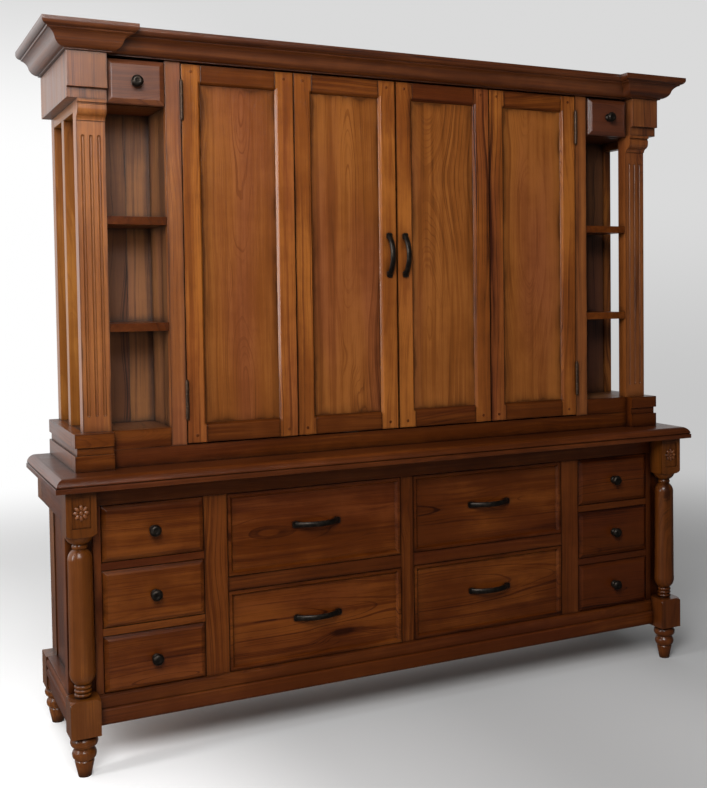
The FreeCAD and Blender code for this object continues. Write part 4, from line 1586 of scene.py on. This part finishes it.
@dataclass(frozen=True)
class Paper:
    """The seamless paper, with painted light and shade: white on the left and along the floor there, where
    the light falls, and grey to the right and low down.
    """

    pale: Colour = (0.70, 0.70, 0.70, 1.0)
    grey: Colour = (0.56, 0.56, 0.56, 1.0)
    pale_height: Span = (0.0, 2.2)
    left_slope: tuple[float, float] = (0.88, -0.47)
    left_reach: float = 0.33
    left_span: Span = (1.6, -0.5)
    white_height: Span = (4.6, 2.6)
    # Where the floor glows white on the left, and where painted shadow and shade darken it in front and to
    # the right.
    glow_left: Span = (-0.75, -1.45)
    glow_left_share: float = 0.85
    glow_far: Span = (2.2, 4.6)
    front_left: Span = (-0.85, -0.30)
    front_right: Span = (0.80, 0.10)
    front_edge: Span = (0.3, -0.2)
    front_shade: float = 0.34
    aside_edge: Span = (0.7, 1.5)
    aside_far: Span = (5.0, 1.5)
    side_shade: float = 0.14
    mirrored: float = 0.12

    def tint(self, t: Tree, place: Socket) -> Socket:
        """The paper's colour, with painted light on the left and painted shade to the right and low down.

        Args:
            t: the material's tree.
            place: the place on the paper.

        Returns:
            The colour's socket.
        """
        x, y, z = t.split(place)
        # Painted light: the paper turns white towards the left, below about 2.6 m.
        across = t.weigh((x, self.left_slope[0]), (y, self.left_slope[1]), (t.length(place), self.left_reach))
        lit = t.times(t.spread(across, self.left_span), t.spread(z, self.white_height))
        return t.blend(lit, t.blend(t.spread(z, self.pale_height), self.grey, self.pale), WHITE)

    def floor(self, t: Tree) -> Socket:
        """Matt paper that takes the object's shadow and glows evenly far away, with a painted glow on the
        left, painted shadow in front of the object and painted shade to its right.

        Args:
            t: the material's tree.

        Returns:
            The shader's socket.
        """
        place = t.node("ShaderNodeTexCoord").outputs["Object"]
        x, y, _ = t.split(place)
        away = t.length(place)
        # Painted light: on the left the paper glows white instead of being lit.
        beside = t.spread(x, self.glow_left, (0.0, self.glow_left_share))
        fade = t.math("MAXIMUM", t.spread(away, self.glow_far), beside)
        # Painted shadow in front of the object and painted shade to its right.
        between = t.times(t.spread(x, self.front_left), t.spread(x, self.front_right))
        front = t.times(t.spread(y, self.front_edge), between)
        aside = t.times(t.spread(x, self.aside_edge), t.spread(away, self.aside_far))
        shade = t.math("MAXIMUM", t.times(front, self.front_shade), t.times(aside, self.side_shade))
        tint = t.blend(shade, self.tint(t, place), BLACK)
        near = t.node("ShaderNodeBsdfDiffuse", {"Color": tint}).outputs[0]
        far = t.node("ShaderNodeEmission", {"Color": tint}).outputs[0]
        seen = t.node("ShaderNodeMixShader", {0: fade, 1: near, 2: far}).outputs[0]
        # Painted reflection: in reflections the paper is a dim glow of its own colour.
        dim = t.node("ShaderNodeEmission", {"Color": tint, "Strength": self.mirrored}).outputs[0]
        glossy = t.node("ShaderNodeLightPath").outputs["Is Glossy Ray"]
        return t.node("ShaderNodeMixShader", {0: glossy, 1: seen, 2: dim}).outputs[0]

    def wall(self, t: Tree) -> Socket:
        """The backdrop, glowing in the paper's colour with its painted light and shade.

        Args:
            t: the material's tree.

        Returns:
            The shader's socket.
        """
        tint = self.tint(t, t.node("ShaderNodeTexCoord").outputs["Object"])
        return t.node("ShaderNodeEmission", {"Color": tint}).outputs[0]


@dataclass
class Studio:
    """A pale seamless floor and backdrop, and soft lamps."""

    hole_radius: float = 0.02
    flat_radius: float = 2.0
    floor_radius: float = 5.6
    wall_radius: float = 9.0
    wall_height: float = 8.0
    cove_points: int = 13
    ring_points: int = 96
    paper: Paper = Paper()
    dim: float = 0.05
    glows: tuple[Glow, ...] = (
        Glow((-0.62, 0.62, 0.48), (0.2, 0.98), 1.20),
        Glow((-0.20, -0.95, 0.20), (0.2, 0.98), 0.03),
        Glow((0.70, 0.70, 0.14), (0.86, 1.0), 0.60),
    )
    lamps: tuple[Lamp, ...] = (
        Lamp("soft_box_front", (-1.8, -3.0, 2.3), (-0.1, 0.0, 1.3), (0.7, 0.8), 34.0),
        Lamp("soft_box_corner", (-0.90, -3.15, 2.45), (-0.7, 0.0, 1.6), (0.45, 0.5), 15.0),
        Lamp("soft_box_top", (-1.6, -2.5, 3.0), (-0.1, 0.0, 1.2), (1.3, 1.2), 70.0),
        Lamp("soft_box_side", (-3.5, -0.65, 1.6), (-0.3, -0.1, 1.4), (0.5, 1.6), 44.0),
    )

    def build(self) -> None:
        """Makes the floor, the backdrop, the world and the lamps."""
        rings = [(radius, 0.0) for radius in (self.hole_radius, self.flat_radius, self.floor_radius)]
        self._sweep("studio_floor", rings, new_material("studio_paper", self.paper.floor), closed=True)
        bend = self.wall_radius - self.floor_radius
        cove = [
            (self.floor_radius + bend * math.sin(a), bend * (1.0 - math.cos(a)))
            for a in np.linspace(0.0, math.pi / 2, self.cove_points)
        ]
        cove.append((self.wall_radius, self.wall_height))
        wall = self._sweep("studio_backdrop", cove, new_material("backdrop_paper", self.paper.wall))
        wall.visible_diffuse = wall.visible_glossy = wall.visible_shadow = False
        self._world()
        for lamp in self.lamps:
            lamp.build()

    def _sweep(
        self, name: str, profile: list[tuple[float, float]], paint: bpy.types.Material, closed: bool = False
    ) -> bpy.types.Object:
        """A round sheet from a profile of radius and height.

        Args:
            name: the sheet's name.
            profile: its radii and heights.
            paint: its material.
            closed: whether the hole in the middle is filled.

        Returns:
            The sheet.
        """
        n = self.ring_points
        angles = [2 * math.pi * k / n for k in range(n)]
        points = [(r * math.cos(a), r * math.sin(a), z) for r, z in profile for a in angles]
        faces = [
            (row * n + k, row * n + (k + 1) % n, (row + 1) * n + (k + 1) % n, (row + 1) * n + k)
            for row in range(len(profile) - 1)
            for k in range(n)
        ]
        if closed:
            faces.append(tuple(reversed(range(n))))
        mesh = bpy.data.meshes.new(name)
        mesh.from_pydata(points, [], [tuple(reversed(face)) for face in faces])
        mesh.materials.append(paint)
        for face in mesh.polygons:
            face.use_smooth = True
        sheet = new_object(name, mesh)
        return sheet

    def _world(self) -> None:
        """Soft light from the pale side of the room, and little from the others."""
        world = bpy.data.worlds.new("studio")
        world.use_nodes = True
        t = Tree(world.node_tree)
        back = world.node_tree.nodes["Background"].inputs
        toward = t.node("ShaderNodeTexCoord").outputs["Generated"]
        strength: Value = self.dim
        for glow in self.glows:
            facing = t.node("ShaderNodeVectorMath", {0: toward, 1: glow.side}, operation="DOT_PRODUCT")
            lit = t.spread(facing.outputs["Value"], glow.span, (0.0, glow.strength))
            strength = t.math("ADD", lit, strength)
        t.feed(back["Color"], WHITE)
        t.feed(back["Strength"], strength)
        bpy.context.scene.world = world
        bpy.context.scene.view_settings.view_transform = "Standard"


def main() -> None:
    """Builds the armoire and its studio."""
    logging.basicConfig(level=logging.INFO, format="%(name)s %(message)s")
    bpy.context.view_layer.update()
    Viewpoint().build()
    for assembly in (BaseCabinet(), Drawers(), Hutch(), BifoldDoors(), Hardware(), Studio()):
        log.info("%s", type(assembly).__name__)
        assembly.build()


if __name__ == "__main__":
    main()
